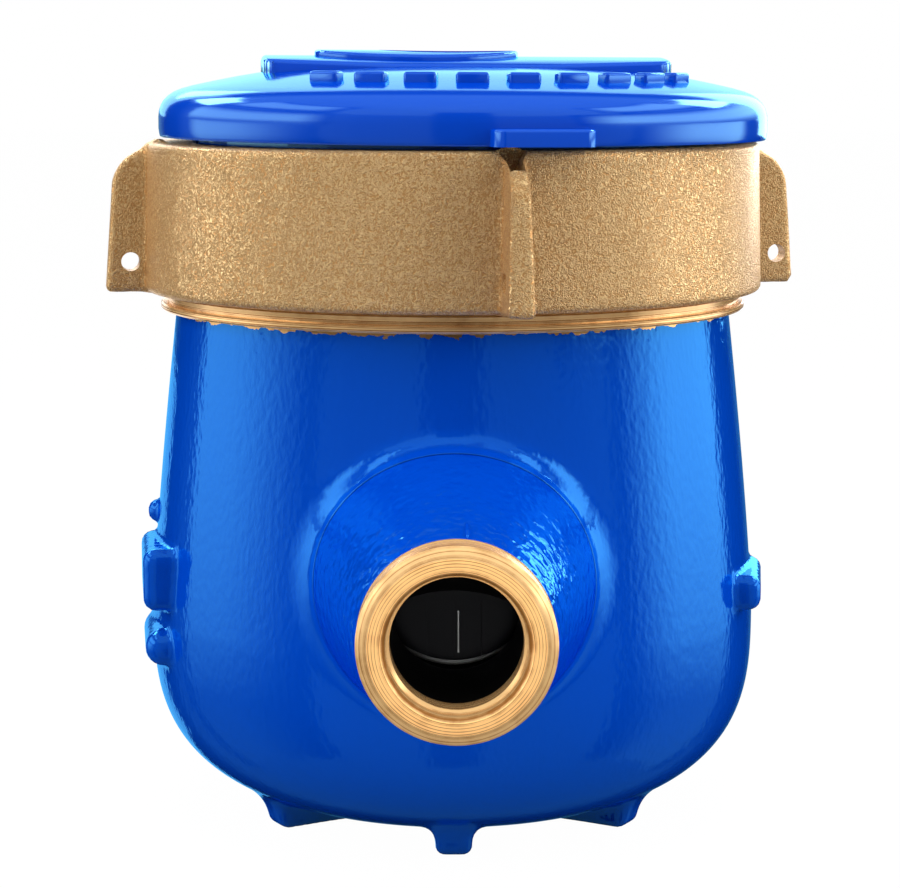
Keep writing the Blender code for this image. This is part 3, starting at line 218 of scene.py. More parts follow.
def reflector(name, first, last, low, high, radius, finish):
    """A bent card round the meter, from one azimuth to another, seen in its gloss only."""
    bm = bmesh.new()
    start = Matrix.Rotation(math.radians(first), 4, "Z") @ Vector((0.0, -radius, 0.0))
    edge = [bm.verts.new((start.x, start.y, level)) for level in (low, high)]
    geom = edge + [bm.edges.new(edge)]
    bmesh.ops.spin(bm, geom=geom, axis=(0, 0, 1), cent=(0, 0, 0),
                   angle=math.radians(last - first), steps=24)
    card = mesh_piece(name, bm, finish)
    card.visible_camera = False
    card.visible_diffuse = False
    card.visible_shadow = False
    card.visible_transmission = False


# Two tall soft boxes, for the vessel's flanks.
CARD_RADIUS = 0.60
CARD_FOOT = (-0.20, 0.10)
CARD_HEAD = (0.34, 0.52)
reflector("left_box", -121.0, -52.0, -0.60, 0.52, CARD_RADIUS,
          glow("left_glow", 1.75, CARD_FOOT, CARD_HEAD, [(-121.0, -113.0), (-52.0, -98.0)]))
reflector("right_box", 62.0, 128.0, -0.60, 0.52, CARD_RADIUS,
          glow("right_glow", 2.7, CARD_FOOT, CARD_HEAD, [(62.0, 94.0), (128.0, 120.0)]))

# Two higher ones, for the fillet round the cone's root.
HIGH_RADIUS = CARD_RADIUS * 1.02
HIGH_FOOT = (0.50, 0.62)
HIGH_HEAD = (0.80, 0.95)
reflector("high_left_box", -112.0, -50.0, 0.50, 0.95, HIGH_RADIUS,
          glow("high_left_glow", 1.8, HIGH_FOOT, HIGH_HEAD, [(-50.0, -66.0)]))
reflector("high_right_box", 56.0, 116.0, 0.50, 0.95, HIGH_RADIUS,
          glow("high_right_glow", 2.2, HIGH_FOOT, HIGH_HEAD, [(56.0, 70.0)]))

# Two nearer ones, for the lid's rim.
RIM_CARD_RADIUS = CARD_RADIUS * 0.98
RIM_CARD_FOOT = (0.13, 0.21)
RIM_CARD_HEAD = (0.28, 0.44)
reflector("lid_left_box", -120.0, -48.0, 0.13, 0.44, RIM_CARD_RADIUS,
          glow("lid_left_glow", 2.2, RIM_CARD_FOOT, RIM_CARD_HEAD, [(-48.0, -64.0)]))
reflector("lid_right_box", 40.0, 140.0, 0.13, 0.44, RIM_CARD_RADIUS,
          glow("lid_right_glow", 2.8, RIM_CARD_FOOT, RIM_CARD_HEAD, [(40.0, 60.0)]))

# A dark card behind the camera, for the deep middle of the vessel.
reflector("dark_card", -11.0, 11.0, -0.60, 0.50, CARD_RADIUS * 0.8, glow("dark_glow", 0.03))

# Behind the meter: the bright sweep with its brighter parts, and a near spark on each side.
REAR_RADIUS = 0.9
SPARK_RADIUS = 0.58
reflector("rear_box", 140.0, 212.0, 0.12, 0.80, 1.0, glow("rear_glow", 2.1, head=(0.72, 0.80)))
reflector("rear_right", 143.0, 164.0, 0.04, 0.70, REAR_RADIUS,
          glow("rear_right_glow", 5.5, head=(0.58, 0.69)))
reflector("rear_left", -165.0, -154.0, 0.36, 0.64, REAR_RADIUS, glow("rear_left_glow", 6.0))
reflector("low_left", -172.0, -146.0, -0.40, 0.00, REAR_RADIUS, glow("low_left_glow", 1.3))
reflector("right_spark", 118.0, 142.0, 0.40, 0.64, SPARK_RADIUS, glow("right_spark_glow", 10.0))
reflector("left_spark", -142.0, -120.0, 0.40, 0.62, SPARK_RADIUS, glow("left_spark_glow", 9.0))

# The sweep is white to the camera, and grey paper to the light.
SWEEP_HALF = 4.0
PAPER_GREY = (0.45, 0.45, 0.46, 1.0)
FLOOR_WHITE = 0.97
FLOOR_GLOW = 1.02
bm = bmesh.new()
bmesh.ops.create_grid(bm, x_segments=1, y_segments=1, size=SWEEP_HALF)
sweep_paper = bpy.data.materials.new("sweep_paper")
sweep_paper.use_nodes = True
tree = sweep_paper.node_tree
paper = tree.nodes["Principled BSDF"]
paper.inputs["Base Color"].default_value = PAPER_GREY
paper.inputs["Roughness"].default_value = 0.9
paper.inputs["Specular IOR Level"].default_value = 0.0
white = node(tree, "Emission", Strength=FLOOR_GLOW)
path = node(tree, "LightPath").outputs
blend = node(tree, "MixShader")
tree.links.new(worked(tree, "MULTIPLY", path["Is Camera Ray"], FLOOR_WHITE), blend.inputs[0])
tree.links.new(paper.outputs[0], blend.inputs[1])
tree.links.new(white.outputs[0], blend.inputs[2])
tree.links.new(blend.outputs[0], tree.nodes["Material Output"].inputs[0])
sweep = mesh_piece("sweep", bm, sweep_paper)
sweep.visible_glossy = False

# The room: white to the camera and through the lens, an even light on the meter, and in
# its gloss a grey room, dimmer low down, with a dark band and then white straight behind.
AMBIENT = 0.56
ROOM_SHARE = 0.50
BAND_SHARE = 0.05
LOW_SHARE = 0.35
world = bpy.data.worlds.new("studio")
scene.world = world
world.use_nodes = True
world.cycles.sampling_method = "NONE"
tree = world.node_tree
backdrop = tree.nodes["Background"]
backdrop.inputs["Color"].default_value = (1.0, 1.0, 1.0, 1.0)
path = node(tree, "LightPath").outputs
split = node(tree, "SeparateXYZ")
tree.links.new(node(tree, "TexCoord").outputs["Generated"], split.inputs[0])
room = eased(tree, split.outputs["Y"], 0.55, 0.72, ROOM_SHARE, BAND_SHARE)
rear = eased(tree, split.outputs["Y"], 0.86, 0.975)
height_share = eased(tree, split.outputs["Z"], 0.44, 0.54, LOW_SHARE, 1.0)
in_gloss = worked(tree, "MULTIPLY", worked(tree, "ADD", room, rear), height_share)
lit = mixed(tree, path["Is Glossy Ray"], AMBIENT, in_gloss)
direct = worked(tree, "MAXIMUM", path["Is Camera Ray"], path["Is Transmission Ray"])
tree.links.new(mixed(tree, direct, lit, 1.0), backdrop.inputs["Strength"])


# Enamelled body casting.
# One brass casting: a round vessel on six short ribs, with a cone to each
# connection. It is sand cast, then dipped in thick blue enamel that pulls
# into a fine orange peel, coarser and drawn out along the cones.
BELLY_RADIUS = 0.0480
BELLY_LEVEL = 0.0327
BELLY_BOTTOM = 0.0012
SHOULDER_RADIUS = 0.0439
SHOULDER_LEVEL = 0.0780
RIM_LEVEL = 0.0809
PIPE_LEVEL = 0.0444
CONE_RADIUS = 0.0205
CONE_START = 0.0450
CONE_END_RADIUS = 0.0132
CONE_END = 0.0788
CONE_FILLET = 0.0028
RIB_COUNT = 6
RIB_REACH = 0.0321
RIB_SPLAY = 0.30
RIB_INNER = 0.0170
RIB_WIDTH = 0.0056
RIB_EDGE = 0.0015
RIB_FILLET = 0.0026
RIB_TOP = 0.012
MARK_ROOT = 0.040
MARK_FILLET = 0.0009


def bulge_radius(level):
    """Radius of the vessel above its widest level."""
    share = np.clip((level - BELLY_LEVEL) / (SHOULDER_LEVEL - BELLY_LEVEL), 0.0, 1.3)
    return BELLY_RADIUS - (BELLY_RADIUS - SHOULDER_RADIUS) * share ** 1.25


def vessel_field(x, y, z):
    """Height over the vessel's skin: a cubed ellipse below, a slow taper above."""
    r = np.hypot(x, y)
    depth = BELLY_LEVEL - BELLY_BOTTOM
    drop = np.maximum(BELLY_LEVEL - z, 0.0)
    size = np.maximum(((r / BELLY_RADIUS) ** 3 + (drop / depth) ** 3) ** (1.0 / 3.0), 1e-6)
    steep = np.hypot(r ** 2 / BELLY_RADIUS ** 3, drop ** 2 / depth ** 3) / size ** 2
    below = (size - 1.0) / np.maximum(steep, 1e-6)
    slope = (bulge_radius(z + 1e-5) - bulge_radius(z - 1e-5)) / 2e-5
    above = (r - bulge_radius(z)) / np.sqrt(1.0 + slope ** 2)
    return np.where(z < BELLY_LEVEL, below, above)


def cone_field(x, y, z):
    """Distance to the two cones along the pipe's line."""
    slope = (CONE_RADIUS - CONE_END_RADIUS) / (CONE_END - CONE_START)
    radius = CONE_RADIUS - (np.abs(y) - CONE_START) * slope
    return (np.hypot(x, z - PIPE_LEVEL) - radius) / math.sqrt(1.0 + slope ** 2)


def block_field(u, v, w, half_u, half_v, half_w, corner):
    """Distance to a block with rounded corners, centred on zero."""
    a = np.abs(u) - half_u + corner
    b = np.abs(v) - half_v + corner
    c = np.abs(w) - half_w + corner
    outside = np.sqrt(np.maximum(a, 0) ** 2 + np.maximum(b, 0) ** 2 + np.maximum(c, 0) ** 2)
    return outside + np.minimum(np.maximum(a, np.maximum(b, c)), 0.0) - corner


def rounded(walls, edge):
    """Distance to the body inside several walls, its edges rounded."""
    parts = [wall + edge for wall in walls]
    outside = np.sqrt(sum(np.maximum(part, 0.0) ** 2 for part in parts))
    return outside + np.minimum(np.maximum.reduce(parts), 0.0) - edge


def joined(a, b, fillet):
    """Union of two fields with a round fillet between them."""
    near = np.maximum(fillet - np.abs(a - b), 0.0) / fillet
    return np.minimum(a, b) - near * near * fillet * 0.25


def rib_field(x, y, z):
    """The nearest of the six ribs, which stand under the belly like spokes."""
    share = math.tau / RIB_COUNT
    turn = np.arctan2(y, x) + math.pi / 2.0
    turn = turn - np.round(turn / share) * share
    r = np.hypot(x, y)
    along = r * np.cos(turn)
    across = r * np.sin(turn)
    outer = (along - RIB_REACH - z * RIB_SPLAY) / math.hypot(1.0, RIB_SPLAY)
    return rounded([outer, RIB_INNER - along, np.abs(across) - RIB_WIDTH / 2.0, -z, z - RIB_TOP],
                   RIB_EDGE)


def mark_field(x, y, z, azimuth, level, middle, width, height, reach, edge):
    """A raised mark: a straight block with soft edges, set square to one azimuth."""
    turn = math.radians(azimuth)
    out = x * math.cos(turn) + y * math.sin(turn)
    along = y * math.cos(turn) - x * math.sin(turn)
    return rounded([np.abs(along - middle) - width / 2.0, np.abs(z - level) - height / 2.0,
                    out - reach, MARK_ROOT - out], edge)


# Azimuth in degrees from +X, level, middle along the wall, width, height, reach and edge.
CAST_MARKS = [(187.0, 0.0404, 0.0064, 0.0200, 0.0096, 0.0497, 0.0019),
              (187.0, 0.0296, 0.0060, 0.0200, 0.0058, 0.0495, 0.0028),
              (-7.0, 0.0382, -0.0060, 0.0190, 0.0054, 0.0494, 0.0018),
              (181.0, 0.0479, 0.0, 0.0036, 0.0034, 0.0487, 0.0014)]


def casting_field(points):
    """Height over the whole casting's skin at each point."""
    x, y, z = points[:, 0], points[:, 1], points[:, 2]
    skin = vessel_field(x, y, z)
    whole = joined(skin, rib_field(x, y, z), RIB_FILLET)
    for mark in CAST_MARKS:
        whole = joined(whole, mark_field(x, y, z, *mark), MARK_FILLET)
    return joined(whole, cone_field(x, y, z), CONE_FILLET)


def gradient(field, points):
    """A field's slope at each point, along X, Y and Z."""
    step = 2e-5
    slopes = np.empty_like(points)
    for axis in range(3):
        offset = np.zeros(3)
        offset[axis] = step
        slopes[:, axis] = (field(points + offset) - field(points - offset)) / (2.0 * step)
    return slopes


def cast_skin(rough, field, cell, rounds=3, passes=4):
    """One even skin over a rough bundle of closed shapes, drawn onto a field."""
    mesh = bpy.data.meshes.new("rough")
    rough.to_mesh(mesh)
    rough.free()
    holder = bpy.data.objects.new("rough", mesh)
    scene.collection.objects.link(holder)
    remesh = holder.modifiers.new("skin", "REMESH")
    remesh.mode = "VOXEL"
    remesh.voxel_size = cell
    graph = bpy.context.evaluated_depsgraph_get()
    skin = bmesh.new()
    skin.from_mesh(holder.evaluated_get(graph).to_mesh())
    bpy.data.objects.remove(holder, do_unlink=True)
    bpy.data.meshes.remove(mesh)
    for _ in range(rounds):
        for _ in range(3):
            bmesh.ops.smooth_vert(skin, verts=skin.verts, factor=0.5, use_axis_x=True,
                                  use_axis_y=True, use_axis_z=True)
        points = np.array([v.co for v in skin.verts])
        for _ in range(passes):
            slopes = gradient(field, points)
            scale = np.maximum((slopes ** 2).sum(axis=1), 0.05)
            points -= slopes * np.clip(field(points) / scale, -cell, cell)[:, None]
        for vert, point in zip(skin.verts, points):
            vert.co = point
    return skin


def turned_shape(bm, profile, steps, axis="Z", centre=(0.0, 0.0, 0.0)):
    """A closed outline of (radius, height) spun once round its axis, added to bm."""
    if axis == "Z":
        verts = [bm.verts.new((r + centre[0], centre[1], h + centre[2])) for r, h in profile]
        spindle = (0, 0, 1)
    else:
        verts = [bm.verts.new((centre[0], h + centre[1], r + centre[2])) for r, h in profile]
        spindle = (0, 1, 0)
    edges = [bm.edges.new((verts[i - 1], verts[i])) for i in range(len(verts))]
    before = set(bm.verts) - set(verts)
    bmesh.ops.spin(bm, geom=verts + edges, axis=spindle, cent=centre, angle=math.tau,
                   steps=steps, use_merge=True)
    made = [v for v in bm.verts if v not in before]
    bmesh.ops.remove_doubles(bm, verts=made, dist=1e-7)
    bmesh.ops.delete(bm, geom=[e for e in bm.edges if not e.link_faces], context="EDGES")
    bmesh.ops.delete(bm, geom=[v for v in bm.verts if not v.link_faces], context="VERTS")
    bmesh.ops.recalc_face_normals(bm, faces=bm.faces)


def add_block(bm, place, size):
    """A plain block of a size at a place, added to bm."""
    bmesh.ops.create_cube(bm, size=1.0, matrix=place @ Matrix.Diagonal((*size, 1.0)))


# A rough bundle comes first: the turned vessel, two cones, and a block for each rib and mark.
CASTING_CELL = 0.00075
CONE_ROOT = 0.02
CONE_SPARE = 0.0806
RIB_BLOCK_MIDDLE = (0.0253, 0.0, 0.0052)
RIB_BLOCK_SIZE = (0.0164, 0.0056, 0.0104)
MARK_BLOCK_BACK = 0.0053
MARK_BLOCK_DEPTH = 0.0100
MARK_BLOCK_EASE = 0.0010
bm = bmesh.new()
levels = [BELLY_BOTTOM + (BELLY_LEVEL - BELLY_BOTTOM) * (1 - math.cos(i * math.pi / 20))
          for i in range(11)]
outline = [(0.0, BELLY_BOTTOM)]
for level in levels[1:]:
    drop = (BELLY_LEVEL - level) / (BELLY_LEVEL - BELLY_BOTTOM)
    outline.append((BELLY_RADIUS * max(1.0 - drop ** 3, 0.0) ** (1.0 / 3.0), level))
for share in (0.25, 0.5, 0.75, 1.0, 1.12):
    level = BELLY_LEVEL + (SHOULDER_LEVEL - BELLY_LEVEL) * share
    outline.append((float(bulge_radius(level)), level))
outline.append((0.0, outline[-1][1]))
turned_shape(bm, outline, 96)
for side in (-1.0, 1.0):
    turned_shape(bm, [(0.0, side * CONE_ROOT), (CONE_RADIUS, side * CONE_ROOT),
                      (CONE_RADIUS, side * CONE_START), (CONE_END_RADIUS, side * CONE_SPARE),
                      (0.0, side * CONE_SPARE)], 64, "Y", (0.0, 0.0, PIPE_LEVEL))
for i in range(RIB_COUNT):
    spoke = Matrix.Rotation(math.tau * (i / RIB_COUNT - 0.25), 4, "Z")
    add_block(bm, spoke @ Matrix.Translation(RIB_BLOCK_MIDDLE), RIB_BLOCK_SIZE)
for azimuth, level, middle, width, height, reach, _ in CAST_MARKS:
    turn = Matrix.Rotation(math.radians(azimuth), 4, "Z")
    add_block(bm, turn @ Matrix.Translation((reach - MARK_BLOCK_BACK, middle, level)),
              (MARK_BLOCK_DEPTH, width - MARK_BLOCK_EASE, height - MARK_BLOCK_EASE))
casting = cast_skin(bm, casting_field, CASTING_CELL)


def cut_flat(bm, point, outward):
    """Everything beyond a plane cut off, and the cut closed."""
    geom = bm.verts[:] + bm.edges[:] + bm.faces[:]
    cut = bmesh.ops.bisect_plane(bm, geom=geom, dist=1e-7, plane_co=point, plane_no=outward,
                                 clear_outer=True)
    rim = [e for e in cut["geom_cut"] if isinstance(e, bmesh.types.BMEdge)]
    bmesh.ops.edgeloop_fill(bm, edges=rim)


cut_flat(casting, (0, 0, RIM_LEVEL), (0, 0, 1))
cut_flat(casting, (0, -CONE_END, 0), (0, -1, 0))
cut_flat(casting, (0, CONE_END, 0), (0, 1, 0))
# The ribs' soles are pressed flat on the ground.
for vert in casting.verts:
    vert.co.z = max(vert.co.z, 0.0)


def effect_group(name, inputs, outputs):
    """A new shader node group, and the sockets of its two end nodes."""
    group = bpy.data.node_groups.new(name, "ShaderNodeTree")
    for label, value in inputs.items():
        kind = "NodeSocketVector" if isinstance(value, tuple) else "NodeSocketFloat"
        socket = group.interface.new_socket(label, in_out="INPUT", socket_type=kind)
        socket.default_value = value
    for label in outputs:
        group.interface.new_socket(label, in_out="OUTPUT", socket_type="NodeSocketFloat")
    given = group.nodes.new("NodeGroupInput").outputs
    results = group.nodes.new("NodeGroupOutput").inputs
    return group, given, results


def off_axis(tree, across, up):
    """How far a point lies from an axis, from its two coordinates square to it."""
    flat = node(tree, "CombineXYZ")
    tree.links.new(across, flat.inputs["X"])
    tree.links.new(up, flat.inputs["Y"])
    length = node(tree, "VectorMath", operation="LENGTH")
    tree.links.new(flat.outputs[0], length.inputs[0])
    return length.outputs["Value"]


CONE_HALF_SPAN = 0.034
PEEL_FADE = 0.0006
SEAM_HALF_WIDTH = 0.0004


def past_seam(group, seam):
    """How far a point lies beyond the ring where the cone's coarser peel begins."""
    axes = own_axes(group)
    wall = ranged(group, axes["Z"], BELLY_LEVEL, SHOULDER_LEVEL, BELLY_RADIUS, SHOULDER_RADIUS)
    reach = worked(group, "SUBTRACT", off_axis(group, axes["X"], axes["Y"]), wall)
    aside = worked(group, "ABSOLUTE", axes["X"])
    flank = worked(group, "GREATER_THAN", aside, CONE_HALF_SPAN)
    return worked(group, "SUBTRACT", reach, worked(group, "ADD", seam, flank))


def pebble(group, place, size, stretch):
    """A fine noise, drawn out along an axis."""
    drawn = node(group, "Mapping")
    drawn.inputs["Scale"].default_value = stretch
    group.links.new(place, drawn.inputs["Vector"])
    made = node(group, "TexNoise", Detail=1.0, Roughness=0.4)
    group.links.new(drawn.outputs[0], made.inputs["Vector"])
    group.links.new(size, made.inputs["Scale"])
    return made.outputs["Fac"]


def peel_group():
    """Enamel's orange peel: a fine pebble, coarser and deeper on the cones."""
    group, given, results = effect_group(
        "orange_peel", {"Belly Size": 1100.0, "Cone Size": 640.0, "Seam": 0.0031},
        ("Height", "Cone", "Line"))
    place = own_place(group)
    beyond = past_seam(group, given["Seam"])
    cone = ranged(group, beyond, 0.0, PEEL_FADE)
    line = eased(group, worked(group, "ABSOLUTE", beyond), 0.0, SEAM_HALF_WIDTH, 1.0, 0.0)
    fine = pebble(group, place, given["Belly Size"], (1.0, 1.0, 0.55))
    coarse = pebble(group, place, given["Cone Size"], (1.0, 0.75, 1.0))
    group.links.new(mixed(group, cone, fine, coarse), results["Height"])
    group.links.new(cone, results["Cone"])
    group.links.new(line, results["Line"])
    return group


orange_peel = peel_group()


def finish(name, colour, roughness, metallic=0.0, **settings):
    """A new material whose Principled shader has its plain values set."""
    made = bpy.data.materials.new(name)
    made.use_nodes = True
    shader = made.node_tree.nodes["Principled BSDF"]
    shader.inputs["Base Color"].default_value = (*colour, 1.0)
    shader.inputs["Roughness"].default_value = roughness
    shader.inputs["Metallic"].default_value = metallic
    for label, value in settings.items():
        shader.inputs[label.replace("_", " ")].default_value = value
    return made, made.node_tree, shader


def noise(tree, **settings):
    """A noise over a piece's own coordinates, as a value."""
    made = node(tree, "TexNoise", **settings)
    tree.links.new(own_place(tree), made.inputs["Vector"])
    return made.outputs["Fac"]


def placed_group(tree, group, **settings):
    """A node group put into a material, with that material's own values."""
    made = tree.nodes.new("ShaderNodeGroup")
    made.node_tree = group
    for label, value in settings.items():
        made.inputs[label.replace("_", " ")].default_value = value
    return made


def bumped(tree, shader, height, distance, strength=1.0):
    """A height put on a shader as a bump."""
    bump = node(tree, "Bump", Distance=distance, Strength=strength)
    tree.links.new(height, bump.inputs["Height"])
    tree.links.new(bump.outputs[0], shader.inputs["Normal"])
    return bump


def tinted_gloss(tree, shader, bump, colour, index, roughness, bare=None):
    """A coloured gloss over a shader, as deep at every angle, except where a mask is bare."""
    gloss = node(tree, "BsdfGlossy", Roughness=roughness, Color=(*colour, 1.0))
    share = node(tree, "Fresnel", IOR=index)
    coated = node(tree, "Math", operation="SUBTRACT", use_clamp=True)
    coated.inputs[1].default_value = 0.0
    blend = node(tree, "MixShader")
    tree.links.new(bump.outputs[0], gloss.inputs["Normal"])
    tree.links.new(bump.outputs[0], share.inputs["Normal"])
    tree.links.new(share.outputs[0], coated.inputs[0])
    if bare:
        tree.links.new(bare, coated.inputs[1])
    tree.links.new(coated.outputs[0], blend.inputs[0])
    tree.links.new(shader.outputs[0], blend.inputs[1])
    tree.links.new(gloss.outputs[0], blend.inputs[2])
    tree.links.new(blend.outputs[0], tree.nodes["Material Output"].inputs[0])


ENAMEL_BLUE = (0.0, 0.044, 0.39)
ENAMEL_GLOSS = (0.09, 0.51, 1.0)
ENAMEL_INDEX = 2.36
PEEL_DEPTH = 0.00075
BELLY_PEEL = 0.08
CONE_PEEL = 0.42
blue_enamel, tree, shader = finish("blue_enamel", ENAMEL_BLUE, 0.30, Specular_IOR_Level=0.0)
peel = placed_group(tree, orange_peel)
bump = bumped(tree, shader, peel.outputs["Height"], PEEL_DEPTH)
tree.links.new(ranged(tree, peel.outputs["Cone"], 0.0, 1.0, BELLY_PEEL, CONE_PEEL),
               bump.inputs["Strength"])

# The seam ring round each cone's root is a shallow line, with painted shade darkening the enamel
# along it.
SEAM_SHADE_BLUE = (0.0, 0.020, 0.16)
SEAM_DEPTH = 0.0003
seam = node(tree, "Bump", Distance=SEAM_DEPTH, Strength=0.9, invert=True)
tree.links.new(peel.outputs["Line"], seam.inputs["Height"])
tree.links.new(seam.outputs[0], bump.inputs["Normal"])
tone = mixed(tree, peel.outputs["Line"], (*ENAMEL_BLUE, 1.0), (*SEAM_SHADE_BLUE, 1.0), "RGBA")

# The enamel ends in a ragged edge at the rim, with bare brass over it.
BARE_BRASS = (0.80, 0.46, 0.18)
RAGGED_SPREAD = 0.0030
RAGGED_LEVEL = RIM_LEVEL + 0.0011
ragged = noise(tree, Scale=420.0, Detail=4.0)
edge = worked(tree, "MULTIPLY_ADD", ragged, RAGGED_SPREAD, own_axes(tree)["Z"])
bare = worked(tree, "GREATER_THAN", edge, RAGGED_LEVEL)
shown = mixed(tree, bare, tone, (*BARE_BRASS, 1.0), "RGBA")
tree.links.new(shown, shader.inputs["Base Color"])
tree.links.new(bare, shader.inputs["Metallic"])
tinted_gloss(tree, shader, bump, ENAMEL_GLOSS, ENAMEL_INDEX, 0.08, bare)

# The inside of the casting is near black: a black coat, darkened further as painted shade for the
# deep bore and hollow.
bore_black_and_shade, tree, shader = finish("bore_black_and_shade", (0.003, 0.003, 0.003), 0.45,
                                 Specular_IOR_Level=0.15)
bumped(tree, shader, noise(tree, Scale=900.0, Detail=3.0), 0.0001, 0.4)


def boolean(target, cutters, operation="DIFFERENCE", solver="MANIFOLD"):
    """Cut or join shapes for good, and leave only the target."""
    for cutter in cutters:
        step = target.modifiers.new("step", "BOOLEAN")
        step.operation = operation
        step.solver = solver
        step.object = cutter
        graph = bpy.context.evaluated_depsgraph_get()
        result = bpy.data.meshes.new_from_object(target.evaluated_get(graph))
        target.modifiers.clear()
        old = target.data
        result.name = old.name
        target.data = result
        bpy.data.meshes.remove(old)
        bpy.data.objects.remove(cutter, do_unlink=True)


# The hollow for the measuring insert, with the ledge that parts its two ports.
CAVITY_RADIUS = 0.0395
CAVITY_FLOOR = 0.0080
CAVITY_TOP = 0.0900
CAVITY_CORNER = 0.0120
LEDGE_RADIUS = 0.0374
LEDGE_BOTTOM = 0.0440
LEDGE_TOP = 0.0470
bm = bmesh.new()
corner = [(CAVITY_RADIUS - CAVITY_CORNER * (1 - math.sin(a)),
           CAVITY_FLOOR + CAVITY_CORNER * (1 - math.cos(a)))
          for a in (i * math.pi / 16 for i in range(9))]
turned_shape(bm, [(0.0, CAVITY_FLOOR)] + corner + [
    (CAVITY_RADIUS, LEDGE_BOTTOM), (LEDGE_RADIUS, LEDGE_BOTTOM), (LEDGE_RADIUS, LEDGE_TOP),
    (CAVITY_RADIUS, LEDGE_TOP), (CAVITY_RADIUS, CAVITY_TOP), (0.0, CAVITY_TOP)], 96)
hollow = mesh_piece("hollow", bm)


def lofted(bm, places, radii, segments):
    """Circles at their places, bridged in order into a closed tube, added to bm."""
    loops = []
    for place, radius in zip(places, radii):
        ring = bmesh.ops.create_circle(bm, segments=segments, radius=radius, matrix=place)["verts"]
        loops.append([e for e in bm.edges if e.verts[0] in ring and e.verts[1] in ring])
    for near, far in zip(loops, loops[1:]):
        bmesh.ops.bridge_loops(bm, edges=near + far)
    for loop in (loops[0], loops[-1]):
        bmesh.ops.edgeloop_fill(bm, edges=loop)
    bmesh.ops.recalc_face_normals(bm, faces=bm.faces)


BORE_RADIUS = 0.0088
BORE_STRAIGHT_END = 0.0605
DUCT_START = 0.0950
PORT_REACH = 0.0360
PORT_HALF_WIDTH = 0.0140
PORT_HALF_HEIGHT = 0.0085
INLET_PORT_LEVEL = 0.0335
OUTLET_PORT_LEVEL = 0.0575
UPRIGHT = Matrix.Rotation(math.pi / 2, 4, "X")


def passage(side, port_level):
    """The duct from a spud's bore to its wide port."""
    stations = [(DUCT_START, 0.0)]
    for share in (i / 8 for i in range(9)):
        stations.append((BORE_STRAIGHT_END + (PORT_REACH - BORE_STRAIGHT_END) * share, share))
    places = []
    for reach, share in stations:
        ease = share * share * (3.0 - 2.0 * share)
        wide = BORE_RADIUS + (PORT_HALF_WIDTH - BORE_RADIUS) * ease
        high = BORE_RADIUS + (PORT_HALF_HEIGHT - BORE_RADIUS) * ease
        level = PIPE_LEVEL + (port_level - PIPE_LEVEL) * ease
        places.append(Matrix.Translation((0, side * reach, level)) @ UPRIGHT
                      @ Matrix.Diagonal((wide, high, 1, 1)))
    bm = bmesh.new()
    lofted(bm, places, [1.0] * len(places), 48)
    return mesh_piece("passage", bm)


SKIN_DEPTH = 0.0004
enamelled_body = mesh_piece("enamelled_body", casting, blue_enamel, bore_black_and_shade)
boolean(enamelled_body, [hollow, passage(-1.0, INLET_PORT_LEVEL), passage(1.0, OUTLET_PORT_LEVEL)])
mesh = enamelled_body.data
centres = np.empty(len(mesh.polygons) * 3)
mesh.polygons.foreach_get("center", centres)
inside = casting_field(centres.reshape(-1, 3)) < -SKIN_DEPTH
mesh.polygons.foreach_set("material_index", inside.astype(np.int32))
mesh.shade_smooth()
mesh.set_sharp_from_angle(angle=math.radians(50))
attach(enamelled_body, "root")


# Mould ridge.
# The fine ridge that the mould's joint left on top of the inlet cone. It was
# cast with the body, and lies under the same enamel.
RIDGE_RINGS = 8
RIDGE_START = 0.0734
RIDGE_LENGTH = 0.0052
RIDGE_OFFSET = 0.0014
RIDGE_RADIUS = 0.00030
RIDGE_TAPER = 0.8
cone_slope = (CONE_RADIUS - CONE_END_RADIUS) / (CONE_END - CONE_START)
places = []
radii = []
for i in range(RIDGE_RINGS):
    share = i / (RIDGE_RINGS - 1)
    reach = RIDGE_START + RIDGE_LENGTH * share
    top = CONE_RADIUS - (reach - CONE_START) * cone_slope
    places.append(Matrix.Translation((RIDGE_OFFSET, -reach, PIPE_LEVEL + top)) @ UPRIGHT)
    radii.append(RIDGE_RADIUS * (1.0 - RIDGE_TAPER * abs(2.0 * share - 1.0) ** 3))
bm = bmesh.new()
lofted(bm, places, radii, 10)
flash_ridge = mesh_piece("flash_ridge", bm, blue_enamel)
flash_ridge.data.shade_smooth()
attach(flash_ridge, "root")


# Turned spuds.
# The ends of the same casting, cut on the lathe after painting: bare brass
# with a gasket face, a thread for the union nut and a chamfered bore.
LATHE_LINE = 0.00020


def lathe_group():
    """The fine rings that a lathe tool leaves, from a distance in metres."""
    group, given, results = effect_group(
        "lathe_rings", {"Distance": 0.0, "Line": LATHE_LINE, "Chatter": 0.2}, ("Height",))
    lines = node(group, "TexNoise", noise_dimensions="1D", Scale=1.0, Detail=2.0)
    turns = worked(group, "DIVIDE", given["Distance"], given["Line"])
    group.links.new(turns, lines.inputs["W"])
    chatter = noise(group, Scale=420.0, Detail=3.0)
    height = mixed(group, given["Chatter"], lines.outputs["Fac"], chatter)
    group.links.new(height, results["Height"])
    return group


lathe_rings = lathe_group()
BRASS = (1.0, 0.63, 0.27)
# The brass turns darker along the lathe rings.
RING_DARK_BRASS = (0.40, 0.17, 0.04)
RING_DARK_RANGE = (0.51, 0.41)


